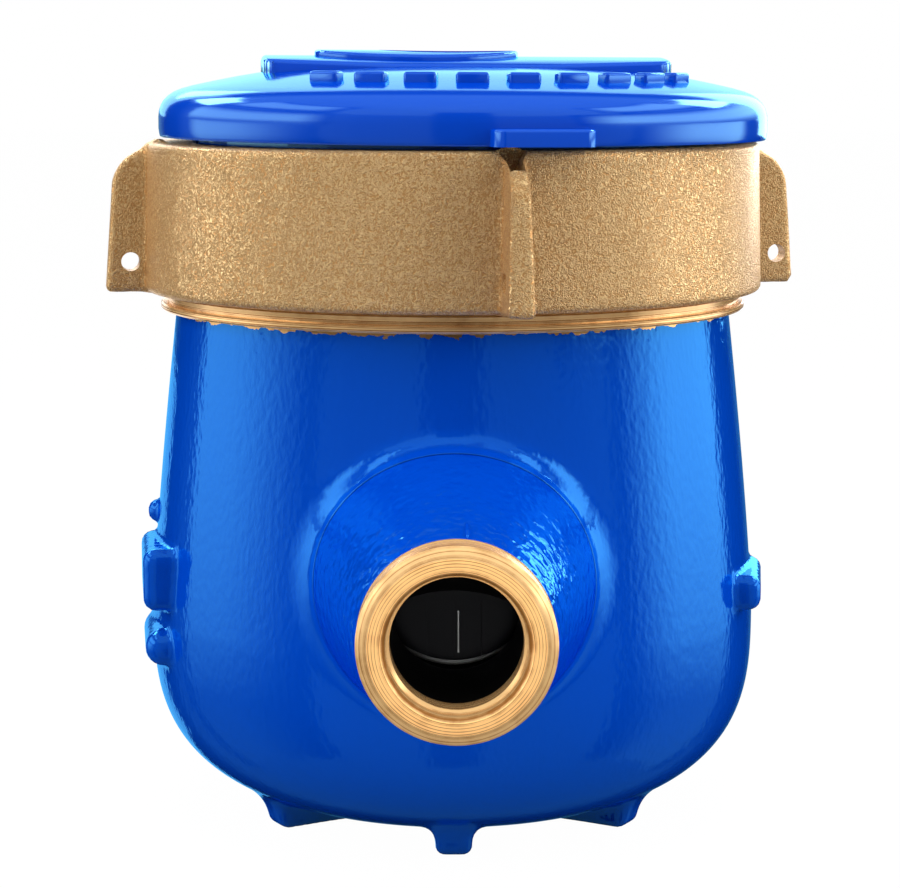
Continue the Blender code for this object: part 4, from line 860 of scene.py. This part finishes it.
def turned_brass(name, axis, level, roughness, colour=BRASS, depth=0.00003, metallic=0.6):
    """Lathe-cut brass: rings about an axis (Y at a level), or lines along Z."""
    made, tree, shader = finish(name, colour, roughness, metallic, Specular_IOR_Level=0.9)
    axes = own_axes(tree)
    distance = axes["Z"]
    if axis == "Y":
        radius = off_axis(tree, axes["X"], worked(tree, "SUBTRACT", axes["Z"], level))
        distance = worked(tree, "ADD", radius, axes["Y"])
    rings = placed_group(tree, lathe_rings)
    tree.links.new(distance, rings.inputs["Distance"])
    fade = ranged(tree, rings.outputs["Height"], *RING_DARK_RANGE)
    shade = mixed(tree, fade, (*colour, 1.0), (*RING_DARK_BRASS, 1.0), "RGBA")
    tree.links.new(shade, shader.inputs["Base Color"])
    bumped(tree, shader, rings.outputs["Height"], depth, 0.6)
    return made


GASKET_BRASS = (0.98, 0.56, 0.21)
spud_brass = turned_brass("spud_brass", "Y", PIPE_LEVEL, 0.26)
gasket_face = turned_brass("gasket_face", "Y", PIPE_LEVEL, 0.40, GASKET_BRASS, 0.00008, 0.3)
FACE = 0.0850
THREAD_RADIUS = 0.0132
THREAD_ROOT = 0.01295
THREAD_PITCH = 0.0009
CROWN_DEPTH = 0.0012
FACE_RADIUS = 0.01140


def spud(name, side):
    """Thread, chamfered crown, gasket face and stepped bore in one section."""
    outline = [(BORE_RADIUS, CONE_END), (THREAD_RADIUS, CONE_END), (THREAD_RADIUS, CONE_END + 0.0003)]
    crest = CONE_END + 0.0008
    while crest < FACE - CROWN_DEPTH - 0.0006:
        outline += [(THREAD_ROOT, crest - 0.0004), (THREAD_ROOT, crest - 0.0003),
                    (THREAD_RADIUS - 0.0001, crest), (THREAD_RADIUS - 0.0001, crest + 0.0002)]
        crest += THREAD_PITCH
    outline += [(THREAD_RADIUS, FACE - CROWN_DEPTH), (THREAD_RADIUS - 0.0002, FACE - 0.0009),
                (FACE_RADIUS + 0.0003, FACE - 0.0001), (FACE_RADIUS, FACE), (0.0100, FACE),
                (0.0099, FACE - 0.0001), (0.0094, FACE - 0.0007), (0.0093, FACE - 0.0009),
                (0.0093, FACE - 0.0024), (BORE_RADIUS, FACE - 0.0028)]
    bm = bmesh.new()
    turned_shape(bm, [(r, side * h) for r, h in outline], 144, "Y", (0.0, 0.0, PIPE_LEVEL))
    made = mesh_piece(name, bm, spud_brass, gasket_face)
    for face in made.data.polygons:
        if abs(face.center.y) > FACE - 0.0001:
            face.material_index = 1
    made.data.shade_smooth()
    made.data.set_sharp_from_angle(angle=math.radians(28))
    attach(made, "root")
    return made


inlet_spud = spud("inlet_spud", -1.0)
outlet_spud = spud("outlet_spud", 1.0)


# Collar and neck.
# The top of the same casting, turned bright: a flange with a groove over the
# painted rim, and the neck that carries the head ring's thread.
collar_brass = turned_brass("collar_brass", "Z", 0.0, 0.20)
bm = bmesh.new()
turned_shape(bm, [
    (0.0424, RIM_LEVEL), (0.0457, RIM_LEVEL), (0.0460, RIM_LEVEL + 0.0003),
    (0.0460, RIM_LEVEL + 0.0009), (0.0458, RIM_LEVEL + 0.0011), (0.0449, RIM_LEVEL + 0.0012),
    (0.0449, RIM_LEVEL + 0.0016), (0.0453, RIM_LEVEL + 0.0017), (0.0454, RIM_LEVEL + 0.0024),
    (0.0452, 0.0835), (0.0438, 0.0835), (0.0438, 0.0978), (0.0436, 0.0980), (0.0424, 0.0980),
    (0.0422, 0.0978), (0.0422, 0.0830), (0.0424, 0.0830)], 192)
collar_and_neck = mesh_piece("collar_and_neck", bm, collar_brass)
collar_and_neck.data.shade_smooth()
collar_and_neck.data.set_sharp_from_angle(angle=math.radians(35))
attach(collar_and_neck, "root")
for made in (enamelled_body, inlet_spud, outlet_spud, collar_and_neck):
    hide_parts("meter_body")


# Head ring.
# Sand-cast brass ring, screwed down over the neck. Four lugs take the sealing
# wire through their holes, and a V notch over the front lug lets it pass.
RING_RADIUS = 0.0483
RING_BOTTOM = 0.0838
RING_TOP = 0.1067
RING_BORE = 0.0441
LIP_RADIUS = 0.0406
LIP_BOTTOM = 0.1037
LUG_TURN = 9.8
LUG_COUNT = 4
LUG_REACH = {0: 0.0557, 1: 0.0552, 2: 0.0546, 3: 0.0552}
LUG_TOP = 0.1069
LUG_TOP_FALL = 31.0
LUG_CORNER = 0.0024
LUG_WIDTH = 0.0039
LUG_TAPER = 0.0013
LUG_EDGE = 0.0008
LUG_FILLET = 0.0010
LUG_DRAFT = 0.0017
RING_DRAFT = 0.0006
RING_EDGE = 0.0009
LUG_ROOT = 0.0455
LUG_TOP_START = 0.0471


def lug_field(x, y, z):
    """The nearest lug: a flat plate with a sloped top and round corners."""
    share = math.tau / LUG_COUNT
    turn = np.arctan2(y, x) - math.radians(LUG_TURN)
    number = np.round(turn / share).astype(int) % LUG_COUNT
    turn = turn - np.round(turn / share) * share
    r = np.hypot(x, y)
    along = r * np.cos(turn)
    share = (z - RING_BOTTOM) / (LUG_TOP - RING_BOTTOM)
    reach = np.array([LUG_REACH[i] for i in range(LUG_COUNT)])[number]
    outer = along - reach + LUG_DRAFT * share
    fall = math.radians(LUG_TOP_FALL)
    top = (along - LUG_TOP_START) * math.sin(fall) + (z - LUG_TOP) * math.cos(fall)
    corner = rounded([outer, top], LUG_CORNER)
    side = np.abs(r * np.sin(turn)) - (LUG_WIDTH - LUG_TAPER * share) / 2.0
    return rounded([corner, RING_BOTTOM - z, side], LUG_EDGE)


def ring_field(points):
    """Height over the ring's skin: a drafted drum with its lip, and the lugs on it."""
    x, y, z = points[:, 0], points[:, 1], points[:, 2]
    r = np.hypot(x, y)
    middle = (RING_BOTTOM + RING_TOP) / 2.0
    wall = (RING_RADIUS - LIP_RADIUS) / 2.0
    slant = RING_DRAFT * (z - middle) / (RING_TOP - RING_BOTTOM)
    drum = block_field(r + slant - (RING_RADIUS - wall), z - middle, 0.0 * z, wall,
                       (RING_TOP - RING_BOTTOM) / 2.0, 0.01, RING_EDGE)
    bore = np.maximum(r - RING_BORE, z - LIP_BOTTOM)
    plates = np.maximum(lug_field(x, y, z), LUG_ROOT - r)
    return np.maximum(joined(drum, plates, LUG_FILLET), -bore)


RING_CELL = 0.00055
LUG_BLOCK_MIDDLE = (0.0505, 0.0, 0.0948)
LUG_BLOCK_SIZE = (0.0088, 0.0036, 0.0220)
spokes = [Matrix.Rotation(math.radians(LUG_TURN + 360.0 * i / LUG_COUNT), 4, "Z")
          for i in range(LUG_COUNT)]
bm = bmesh.new()
turned_shape(bm, [(RING_BORE, RING_BOTTOM), (RING_RADIUS, RING_BOTTOM), (RING_RADIUS, RING_TOP),
                  (LIP_RADIUS, RING_TOP), (LIP_RADIUS, LIP_BOTTOM), (RING_BORE, LIP_BOTTOM)], 128)
for spoke in spokes:
    add_block(bm, spoke @ Matrix.Translation(LUG_BLOCK_MIDDLE), LUG_BLOCK_SIZE)
ring_skin = cast_skin(bm, ring_field, RING_CELL)

# The holes for the sealing wire, and the notch that lets it pass over the front lug.
LUG_HOLE_REACH = (0.0528, 0.0508, 0.0508, 0.0508)
LUG_HOLE_LEVEL = 0.0885
LUG_HOLE_RADIUS = 0.00145
DRILL_LENGTH = 0.0072
bm = bmesh.new()
for spoke, reach in zip(spokes, LUG_HOLE_REACH):
    drill = spoke @ Matrix.Translation((reach, 0.0, LUG_HOLE_LEVEL)) @ UPRIGHT
    bmesh.ops.create_cone(bm, cap_ends=True, segments=32, radius1=LUG_HOLE_RADIUS,
                          radius2=LUG_HOLE_RADIUS, depth=DRILL_LENGTH, matrix=drill)
drills = mesh_piece("drills", bm)

NOTCH_HALF = 0.0012
NOTCH_BOTTOM = 0.1025
NOTCH_FLARE_LEVEL = 0.1053
NOTCH_TOP = 0.1075
NOTCH_START = 0.0456
NOTCH_LENGTH = 0.006
bm = bmesh.new()
corners = [bm.verts.new((NOTCH_START, NOTCH_HALF * share, level)) for share, level in (
    (-0.8, NOTCH_BOTTOM), (0.8, NOTCH_BOTTOM), (1.0, NOTCH_FLARE_LEVEL), (2.3, NOTCH_TOP),
    (-2.3, NOTCH_TOP), (-1.0, NOTCH_FLARE_LEVEL))]
face = bm.faces.new(corners)
grown = bmesh.ops.extrude_face_region(bm, geom=[face])
bmesh.ops.translate(bm, vec=(NOTCH_LENGTH, 0.0, 0.0),
                    verts=[v for v in grown["geom"] if isinstance(v, bmesh.types.BMVert)])
bmesh.ops.recalc_face_normals(bm, faces=bm.faces)
bmesh.ops.rotate(bm, cent=(0, 0, 0), verts=bm.verts,
                 matrix=Matrix.Rotation(math.radians(LUG_TURN - 90.0), 3, "Z"))
notch = mesh_piece("notch", bm)

# The sand's grain: worms of bright high spots over darker pits.
PIT_BRASS = (0.74, 0.37, 0.115, 1.0)
CREST_BRASS = (1.0, 0.67, 0.30, 1.0)
GRAIN_DEPTH = 0.00050
cast_brass, tree, shader = finish("sand_cast_brass", BRASS, 0.30, 0.64, IOR=1.6,
                                  Specular_IOR_Level=1.0)
worms = noise(tree, Scale=2900.0, Detail=0.0, Distortion=1.6)
grain = ranged(tree, worms, 0.36, 0.64)
shade = node(tree, "ValToRGB")
pit, crest = shade.color_ramp.elements
pit.position = 0.05
pit.color = PIT_BRASS
crest.position = 0.75
crest.color = CREST_BRASS
tree.links.new(grain, shade.inputs["Fac"])
tree.links.new(shade.outputs["Color"], shader.inputs["Base Color"])
bumped(tree, shader, grain, GRAIN_DEPTH)

cast_ring = mesh_piece("cast_ring", ring_skin, cast_brass)
boolean(cast_ring, [drills, notch])
cast_ring.data.shade_smooth()
cast_ring.data.set_sharp_from_angle(angle=math.radians(55))
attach(cast_ring, "root")
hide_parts("head_ring")


# Lid.
# One injection moulding in glossy blue plastic: a low dome with a raised
# oblong, an oval boss, grip studs and a thumb tab, hung on a pin at the back.
LID_SHIFT = 0.0016
LID_ROLL = 0.35
REGISTER_TURN = 13.0
LID_BOTTOM = 0.1073
lift = Matrix.Translation((0.0, 0.0, LID_BOTTOM))
lid_place = (Matrix.Translation((LID_SHIFT, 0.0, 0.0))
             @ Matrix.Rotation(math.radians(REGISTER_TURN), 4, "Z") @ lift
             @ Matrix.Rotation(math.radians(LID_ROLL), 4, "Y") @ lift.inverted())

# The section of the dome, from the rim up to the crown, and of its hollow side back down.
dome = [(0.0474, 0.1074), (0.0475, 0.1078), (0.0476, 0.1086), (0.0476, 0.1104), (0.0475, 0.1113),
        (0.0472, 0.1122), (0.0468, 0.1129), (0.0461, 0.1136), (0.0452, 0.1142), (0.0440, 0.1147),
        (0.0422, 0.1152), (0.0390, 0.1159), (0.0355, 0.1166), (0.0320, 0.1172), (0.0270, 0.1177),
        (0.0200, 0.1181), (0.0110, 0.1184), (0.0, 0.1184)]
under = [(0.0, 0.1164), (0.0320, 0.1153), (0.0425, 0.1129), (0.0454, 0.1111), (0.0456, 0.1105),
         (0.0456, 0.1074), (0.0457, 0.1073), (0.0473, 0.1073)]
bm = bmesh.new()
turned_shape(bm, dome + under, 192)

LID_BLUE = (0.0, 0.040, 0.42)
LID_GLOSS = (0.32, 0.76, 1.0)
LID_INDEX = 2.15
moulded_blue, tree, shader = finish("moulded_blue", LID_BLUE, 0.30, Specular_IOR_Level=0.0)
ripple = noise(tree, Scale=130.0, Detail=2.0)
bump = bumped(tree, shader, ripple, 0.0001, 0.10)
tinted_gloss(tree, shader, bump, LID_GLOSS, LID_INDEX, 0.12)
lid_shell = mesh_piece("lid_shell", bm, moulded_blue)


def rounded_prism(outline, low, high, radius, segments=3):
    """An outline raised to a block, with its upper edges and corners rounded."""
    bm = bmesh.new()
    face = bm.faces.new([bm.verts.new((x, y, low)) for x, y in outline])
    grown = bmesh.ops.extrude_face_region(bm, geom=[face])
    top = [v for v in grown["geom"] if isinstance(v, bmesh.types.BMVert)]
    bmesh.ops.translate(bm, vec=(0.0, 0.0, high - low), verts=top)
    bmesh.ops.recalc_face_normals(bm, faces=bm.faces)
    edges = [e for e in bm.edges if any(v in top for v in e.verts)]
    bmesh.ops.bevel(bm, geom=edges, offset=radius, segments=segments, profile=0.5,
                    affect="EDGES", material=-1)
    return bm


PLATE_TURN = -8.0
PLATE_CREST = 0.11989
PLATE_CROWN = 0.0013
PLATE_FRONT = 0.0150
PLATE_BACK = 0.0080
PLATE_HALF = 0.0315


def crowned(bm, above, segments):
    """A block cut into strips, its parts over a level bent to the barrel's crown."""
    for i in range(1, segments):
        y = -PLATE_FRONT + (PLATE_FRONT + PLATE_BACK) * i / segments
        bmesh.ops.bisect_plane(bm, geom=bm.verts[:] + bm.edges[:] + bm.faces[:], dist=1e-7,
                               plane_co=(0.0, y, 0.0), plane_no=(0.0, 1.0, 0.0))
    for vert in bm.verts:
        if vert.co.z > above:
            vert.co.z -= PLATE_CROWN * (vert.co.y / PLATE_FRONT) ** 2
    bmesh.ops.rotate(bm, cent=(0, 0, 0), verts=bm.verts,
                     matrix=Matrix.Rotation(math.radians(PLATE_TURN), 3, "Z"))
    return bm


def oval(long, deep, along, steps=64):
    """An oval outline on the oblong, its middle moved along it."""
    return [(along + long * math.cos(a), deep * math.sin(a) - 0.0020)
            for a in (math.tau * i / steps for i in range(steps))]


def corner_arc(x, y, radius, first):
    """A quarter turn of an outline's corner, its centre given."""
    return [(x + radius * math.cos(a), y + radius * math.sin(a))
            for a in (math.radians(first + 18.0 * i) for i in range(6))]


# What stands on the dome: the oblong, the boss with its dished eye, the tab and the studs.
PLATE_CORNER = 0.0026
PLATE_REAR_CORNER = 0.0016
PLATE_SHOULDER = PLATE_FRONT * 0.75
plate_outline = (corner_arc(-PLATE_HALF + PLATE_CORNER, PLATE_CORNER - PLATE_SHOULDER,
                            PLATE_CORNER, 180.0)
                 + [(-PLATE_HALF * 0.35, -PLATE_FRONT), (PLATE_HALF * 0.35, -PLATE_FRONT)]
                 + corner_arc(PLATE_HALF - PLATE_CORNER, PLATE_CORNER - PLATE_SHOULDER,
                              PLATE_CORNER, 270.0)
                 + corner_arc(PLATE_HALF - PLATE_REAR_CORNER, PLATE_BACK - PLATE_REAR_CORNER,
                              PLATE_REAR_CORNER, 0.0)
                 + corner_arc(PLATE_REAR_CORNER - PLATE_HALF, PLATE_BACK - PLATE_REAR_CORNER,
                              PLATE_REAR_CORNER, 90.0))
PLATE_FOOT = 0.1166
PLATE_BEND_LEVEL = 0.1170
oblong = crowned(rounded_prism(plate_outline, PLATE_FOOT, PLATE_CREST, 0.0006),
                 PLATE_BEND_LEVEL, 14)
BOSS_OUTLINE = oval(0.0159, 0.0095, -0.0075)
BOSS_FOOT = 0.1169
BOSS_RISE = 0.0009
BOSS_TOP = PLATE_CREST + BOSS_RISE
BOSS_BEND_LEVEL = 0.1180
boss = crowned(rounded_prism(BOSS_OUTLINE, BOSS_FOOT, BOSS_TOP, 0.0005), BOSS_BEND_LEVEL, 24)
EYE_OUTLINE = oval(0.0108, 0.0060, -0.0027)
EYE_DEPTH = 0.0008
eye = crowned(rounded_prism(EYE_OUTLINE, BOSS_TOP + 0.0010, BOSS_TOP - EYE_DEPTH, 0.0003), 0.0, 20)
TAB_HALF = 0.00745
TAB_TIP_HALF = 0.0063
TAB_ROOT = 0.0460
TAB_REACH = 0.0502
TAB_CHAMFER = 0.0012
TAB_THICKNESS = 0.0025
tab = rounded_prism([(-TAB_HALF, -TAB_ROOT), (-TAB_HALF, TAB_CHAMFER - TAB_REACH),
                     (-TAB_TIP_HALF, -TAB_REACH), (TAB_TIP_HALF, -TAB_REACH),
                     (TAB_HALF, TAB_CHAMFER - TAB_REACH), (TAB_HALF, -TAB_ROOT)],
                    LID_BOTTOM, LID_BOTTOM + TAB_THICKNESS, 0.0005)
additions = [mesh_piece("oblong", oblong), mesh_piece("boss", boss), mesh_piece("tab", tab)]
STUD_COUNT = 9
STUD_SPAN = 92.0
STUD_REACH = 0.037
STUD_HALF_WIDTH = 0.0012
STUD_HALF_LENGTH = 0.0024
STUD_FOOT = 0.1148
STUD_TOP = 0.1176
for i in range(STUD_COUNT):
    stud = rounded_prism([(-STUD_HALF_WIDTH, -STUD_HALF_LENGTH),
                          (STUD_HALF_WIDTH, -STUD_HALF_LENGTH),
                          (STUD_HALF_WIDTH, STUD_HALF_LENGTH),
                          (-STUD_HALF_WIDTH, STUD_HALF_LENGTH)], STUD_FOOT, STUD_TOP, 0.0005)
    turn = Matrix.Rotation(math.radians(STUD_SPAN * (i / (STUD_COUNT - 1) - 0.5) - 90.0), 4, "Z")
    bmesh.ops.transform(stud, verts=stud.verts, matrix=turn @ Matrix.Translation((STUD_REACH, 0, 0)))
    additions.append(mesh_piece("stud", stud))
boolean(lid_shell, additions, "UNION")
boolean(lid_shell, [mesh_piece("eye", eye)])

# The hinge: a slot in the rim for the shroud's knuckle, and an ear on each side of it.
HINGE_REACH = 0.0505
HINGE_LEVEL = 0.1109
HINGE_SLOT_PLACE = (0.0, 0.0497, 0.1100)
HINGE_SLOT_SIZE = (0.0110, 0.0122, 0.0078)
EAR_OFFSET = 0.0070
EAR_WIDTH = 0.0030
EAR_RADIUS = 0.0025
EAR_ROOT_PLACE = (0.0482, 0.1104)
EAR_ROOT_SIZE = (0.0042, 0.0040)
PIN_BORE = 0.0013
bm = bmesh.new()
add_block(bm, Matrix.Translation(HINGE_SLOT_PLACE), HINGE_SLOT_SIZE)
boolean(lid_shell, [mesh_piece("hinge_slot", bm)])


def cross_pin(name, offset, radius, length, segments):
    """A round bar along the hinge's axis."""
    bm = bmesh.new()
    lie = Matrix.Translation((offset, HINGE_REACH, HINGE_LEVEL)) @ Matrix.Rotation(
        math.pi / 2, 4, "Y")
    bmesh.ops.create_cone(bm, cap_ends=True, segments=segments, radius1=radius, radius2=radius,
                          depth=length, matrix=lie)
    return mesh_piece(name, bm)


ears = []
for side in (-1.0, 1.0):
    ears.append(cross_pin("ear", side * EAR_OFFSET, EAR_RADIUS, EAR_WIDTH, 40))
    bm = bmesh.new()
    add_block(bm, Matrix.Translation((side * EAR_OFFSET, *EAR_ROOT_PLACE)),
              (EAR_WIDTH, *EAR_ROOT_SIZE))
    ears.append(mesh_piece("ear_root", bm))
boolean(lid_shell, ears, "UNION")
boolean(lid_shell, [cross_pin("pin_bore", 0.0, PIN_BORE, 0.020, 32)])
lid_shell.data.transform(lid_place)
lid_shell.data.shade_smooth()
lid_shell.data.set_sharp_from_angle(angle=math.radians(32))
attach(lid_shell, "lid")
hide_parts("lid")


# Number drums.
# Five black drums with white figures run behind the dial's window. Each turns
# with its own packed drum, and its figures are moulded round it.
DRUM_COUNT = 5
DRUM_RADIUS = 0.0030
DRUM_BORE = 0.0010
DRUM_HALF = 0.0020
DRUM_EDGE = 0.0002
DRUM_LEVEL = 0.0929
DRUM_ROW = 0.0140
DRUM_PITCH = 0.0046
FIGURE_SIZE = 0.0024
FIGURE_RISE = 0.00003
FIGURE_STRIP = 0.00017
black_moulding = finish("black_moulding", (0.012, 0.012, 0.013), 0.34)[0]
white_ink = finish("white_ink", (0.82, 0.82, 0.80), 0.5)[0]


def flat_figure(digit):
    """A figure as a flat mesh."""
    text = bpy.data.curves.new("figure", "FONT")
    text.body = str(digit)
    text.size = FIGURE_SIZE
    text.align_x = "CENTER"
    text.align_y = "CENTER"
    written = bpy.data.objects.new("figure", text)
    scene.collection.objects.link(written)
    graph = bpy.context.evaluated_depsgraph_get()
    flat = bpy.data.meshes.new_from_object(written.evaluated_get(graph))
    bpy.data.objects.remove(written, do_unlink=True)
    bpy.data.curves.remove(text)
    return flat


def drum_figures():
    """The ten figures of a drum, each cut into strips and bent round it."""
    figures = bmesh.new()
    for digit in range(10):
        flat = flat_figure(digit)
        strip = bmesh.new()
        strip.from_mesh(flat)
        for row in range(-5, 6):
            bmesh.ops.bisect_plane(strip, geom=strip.verts[:] + strip.edges[:] + strip.faces[:],
                                   dist=1e-7, plane_co=(0.0, row * FIGURE_STRIP, 0.0),
                                   plane_no=(0.0, 1.0, 0.0))
        for vert in strip.verts:
            turn = math.tau * digit / 10.0 + vert.co.y / DRUM_RADIUS
            reach = DRUM_RADIUS + FIGURE_RISE
            vert.co = (-reach * math.cos(turn), reach * math.sin(turn), vert.co.x)
        strip.to_mesh(flat)
        strip.free()
        figures.from_mesh(flat)
        bpy.data.meshes.remove(flat)
    for face in figures.faces:
        face.material_index = 1
    return figures


for i in range(DRUM_COUNT):
    bm = bmesh.new()
    turned_shape(bm, [(DRUM_BORE, -DRUM_HALF), (DRUM_RADIUS - DRUM_EDGE, -DRUM_HALF),
                      (DRUM_RADIUS, DRUM_EDGE - DRUM_HALF), (DRUM_RADIUS, DRUM_HALF - DRUM_EDGE),
                      (DRUM_RADIUS - DRUM_EDGE, DRUM_HALF), (DRUM_BORE, DRUM_HALF)], 60)
    drum = mesh_piece("digit_drum_%d" % (i + 1), bm, black_moulding, white_ink)
    figures = drum_figures()
    figures.from_mesh(drum.data)
    figures.to_mesh(drum.data)
    figures.free()
    drum.data.transform(Matrix.Rotation(math.radians(REGISTER_TURN), 4, "Z") @ Matrix.Translation(
        (DRUM_PITCH * (i - 2), DRUM_ROW, DRUM_LEVEL)) @ Matrix.Rotation(math.pi / 2, 4, "Y"))
    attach(drum, "number_drum_%d" % (i + 1))
    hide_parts("number_drum_%d" % (i + 1))


# Strainer rib.
# The one part of the inside that catches light through the inlet: a moulded
# rib on the cage that strains the incoming water, and the cage's mould seam.
# Both are grey, lighter than the black cage, as a painted highlight along them.
CAGE_RADIUS = 0.0390
CAGE_RIB_RADIUS = 0.00034
ARC_RADIUS = 0.0139
ARC_LEVEL = 0.0457
ARC_START = -142.0
ARC_STEP = 4.0
ARC_POINTS = 27
CAGE_SEAM_PLACE = (0.0006, -CAGE_RADIUS, 0.0364)
CAGE_SEAM_SIZE = (0.0002, 0.0003, 0.0062)
places = []
for i in range(ARC_POINTS):
    angle = math.radians(ARC_START + ARC_STEP * i)
    x = ARC_RADIUS * math.cos(angle)
    level = ARC_LEVEL + ARC_RADIUS * math.sin(angle)
    places.append(Matrix.Translation((x, -math.sqrt(CAGE_RADIUS ** 2 - x * x), level))
                  @ Matrix.Rotation(math.pi / 2, 4, "Y"))
bm = bmesh.new()
lofted(bm, places, [CAGE_RIB_RADIUS] * ARC_POINTS, 10)
add_block(bm, Matrix.Translation(CAGE_SEAM_PLACE), CAGE_SEAM_SIZE)
# Grey, lighter than the cage: a painted highlight for the glint on the rib and the seam.
rib_painted_glint = finish("rib_painted_glint", (0.26, 0.26, 0.26), 0.4)[0]
strainer_rib = mesh_piece("strainer_rib", bm, rib_painted_glint)
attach(strainer_rib, "root")


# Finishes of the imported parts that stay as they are.
# What shows with the lid open or in a section: mouldings with a faint flow
# mottle, ground steel, rubber, ferrite and the printed dial under its lens.
def mottled(name, colour, roughness, metallic=0.0, size=260.0, depth=0.00003, contrast=0.15):
    """A plain finish with a faint mottle in its tone and a little relief."""
    made, tree, shader = finish(name, colour, roughness, metallic)
    cloud = noise(tree, Scale=size, Detail=3.0)
    darker = (*[c * (1.0 - contrast) for c in colour], 1.0)
    tree.links.new(mixed(tree, cloud, (*colour, 1.0), darker, "RGBA"), shader.inputs["Base Color"])
    bumped(tree, shader, cloud, depth, 0.5)
    return made


TICK_COUNT = 10.0
TICK_START = 0.0049
TICK_END = 0.0057
TICK_HALF_WIDTH = 0.00013
CIRCLE_HALF_WIDTH = 0.00007


def tick_group():
    """A sub-dial's print: a thin circle with ten strokes outside it, as a mask."""
    group, given, results = effect_group("dial_ticks", {"Centre": (0.0, 0.0, 0.0)}, ("Mask",))
    offset = node(group, "VectorMath", operation="SUBTRACT")
    group.links.new(own_place(group), offset.inputs[0])
    group.links.new(given["Centre"], offset.inputs[1])
    split = node(group, "SeparateXYZ")
    group.links.new(offset.outputs[0], split.inputs[0])
    x = split.outputs["X"]
    y = split.outputs["Y"]
    radius = off_axis(group, x, y)
    turns = worked(group, "MULTIPLY", worked(group, "ARCTAN2", y, x), TICK_COUNT / math.tau)
    whole = worked(group, "ROUND", turns)
    off = worked(group, "ABSOLUTE", worked(group, "SUBTRACT", turns, whole))
    across = worked(group, "MULTIPLY", worked(group, "MULTIPLY", off, math.tau / TICK_COUNT),
                    radius)
    band = worked(group, "MULTIPLY", worked(group, "GREATER_THAN", radius, TICK_START),
                  worked(group, "LESS_THAN", radius, TICK_END))
    stroke = worked(group, "MULTIPLY", worked(group, "LESS_THAN", across, TICK_HALF_WIDTH), band)
    apart = worked(group, "ABSOLUTE", worked(group, "SUBTRACT", radius, TICK_START))
    circle = worked(group, "LESS_THAN", apart, CIRCLE_HALF_WIDTH)
    group.links.new(worked(group, "MAXIMUM", stroke, circle), results["Mask"])
    return group


dressed = {
    "blue_plastic": moulded_blue,
    "cast_brass": cast_brass,
    "black_plastic": mottled("black_cage", (0.010, 0.010, 0.011), 0.38),
    "white_plastic": mottled("white_moulding", (0.80, 0.80, 0.77), 0.42),
    "red_plastic": mottled("red_pointer", (0.62, 0.03, 0.02), 0.28),
    "steel": mottled("ground_steel", (0.62, 0.62, 0.63), 0.22, 1.0, 900.0),
    "rubber": mottled("seal_rubber", (0.02, 0.02, 0.02), 0.65),
    "magnet": mottled("ferrite", (0.06, 0.06, 0.065), 0.55, 0.3, 600.0, 0.00006),
}
dressed["glass"] = finish("lens_glass", (0.96, 0.99, 0.98), 0.02, IOR=1.5,
                          Transmission_Weight=1.0)[0]

# The dial's print: four sub-dials on an arc under the drums.
DIAL_WHITE = (0.86, 0.86, 0.84)
DIAL_INK = (0.02, 0.02, 0.02)
SUB_DIALS = 4
SUB_DIAL_REACH = 0.01664
SUB_DIAL_STEP = -45.0
SUB_DIAL_FIRST = -35.0 + REGISTER_TURN
printed, tree, shader = finish("printed_dial", DIAL_WHITE, 0.45)
ticks = tick_group()
mask = 0.0
for i in range(SUB_DIALS):
    angle = math.radians(SUB_DIAL_FIRST + SUB_DIAL_STEP * i)
    mark = placed_group(tree, ticks, Centre=(SUB_DIAL_REACH * math.cos(angle),
                                             SUB_DIAL_REACH * math.sin(angle), 0.0))
    mask = worked(tree, "MAXIMUM", mask, mark.outputs[0])
ink = mixed(tree, mask, (*DIAL_WHITE, 1.0), (*DIAL_INK, 1.0), "RGBA")
tree.links.new(ink, shader.inputs["Base Color"])

for name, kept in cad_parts.items():
    for slot in kept.material_slots:
        plain = slot.material.name.split(".")[0]
        if plain in dressed:
            slot.material = dressed[plain]
    if name == "dial_plate":
        kept.material_slots[0].material = printed
    # The chamber is dark behind the strainer's gaps.
    if name == "measuring_chamber":
        kept.material_slots[0].material = dressed["black_plastic"]
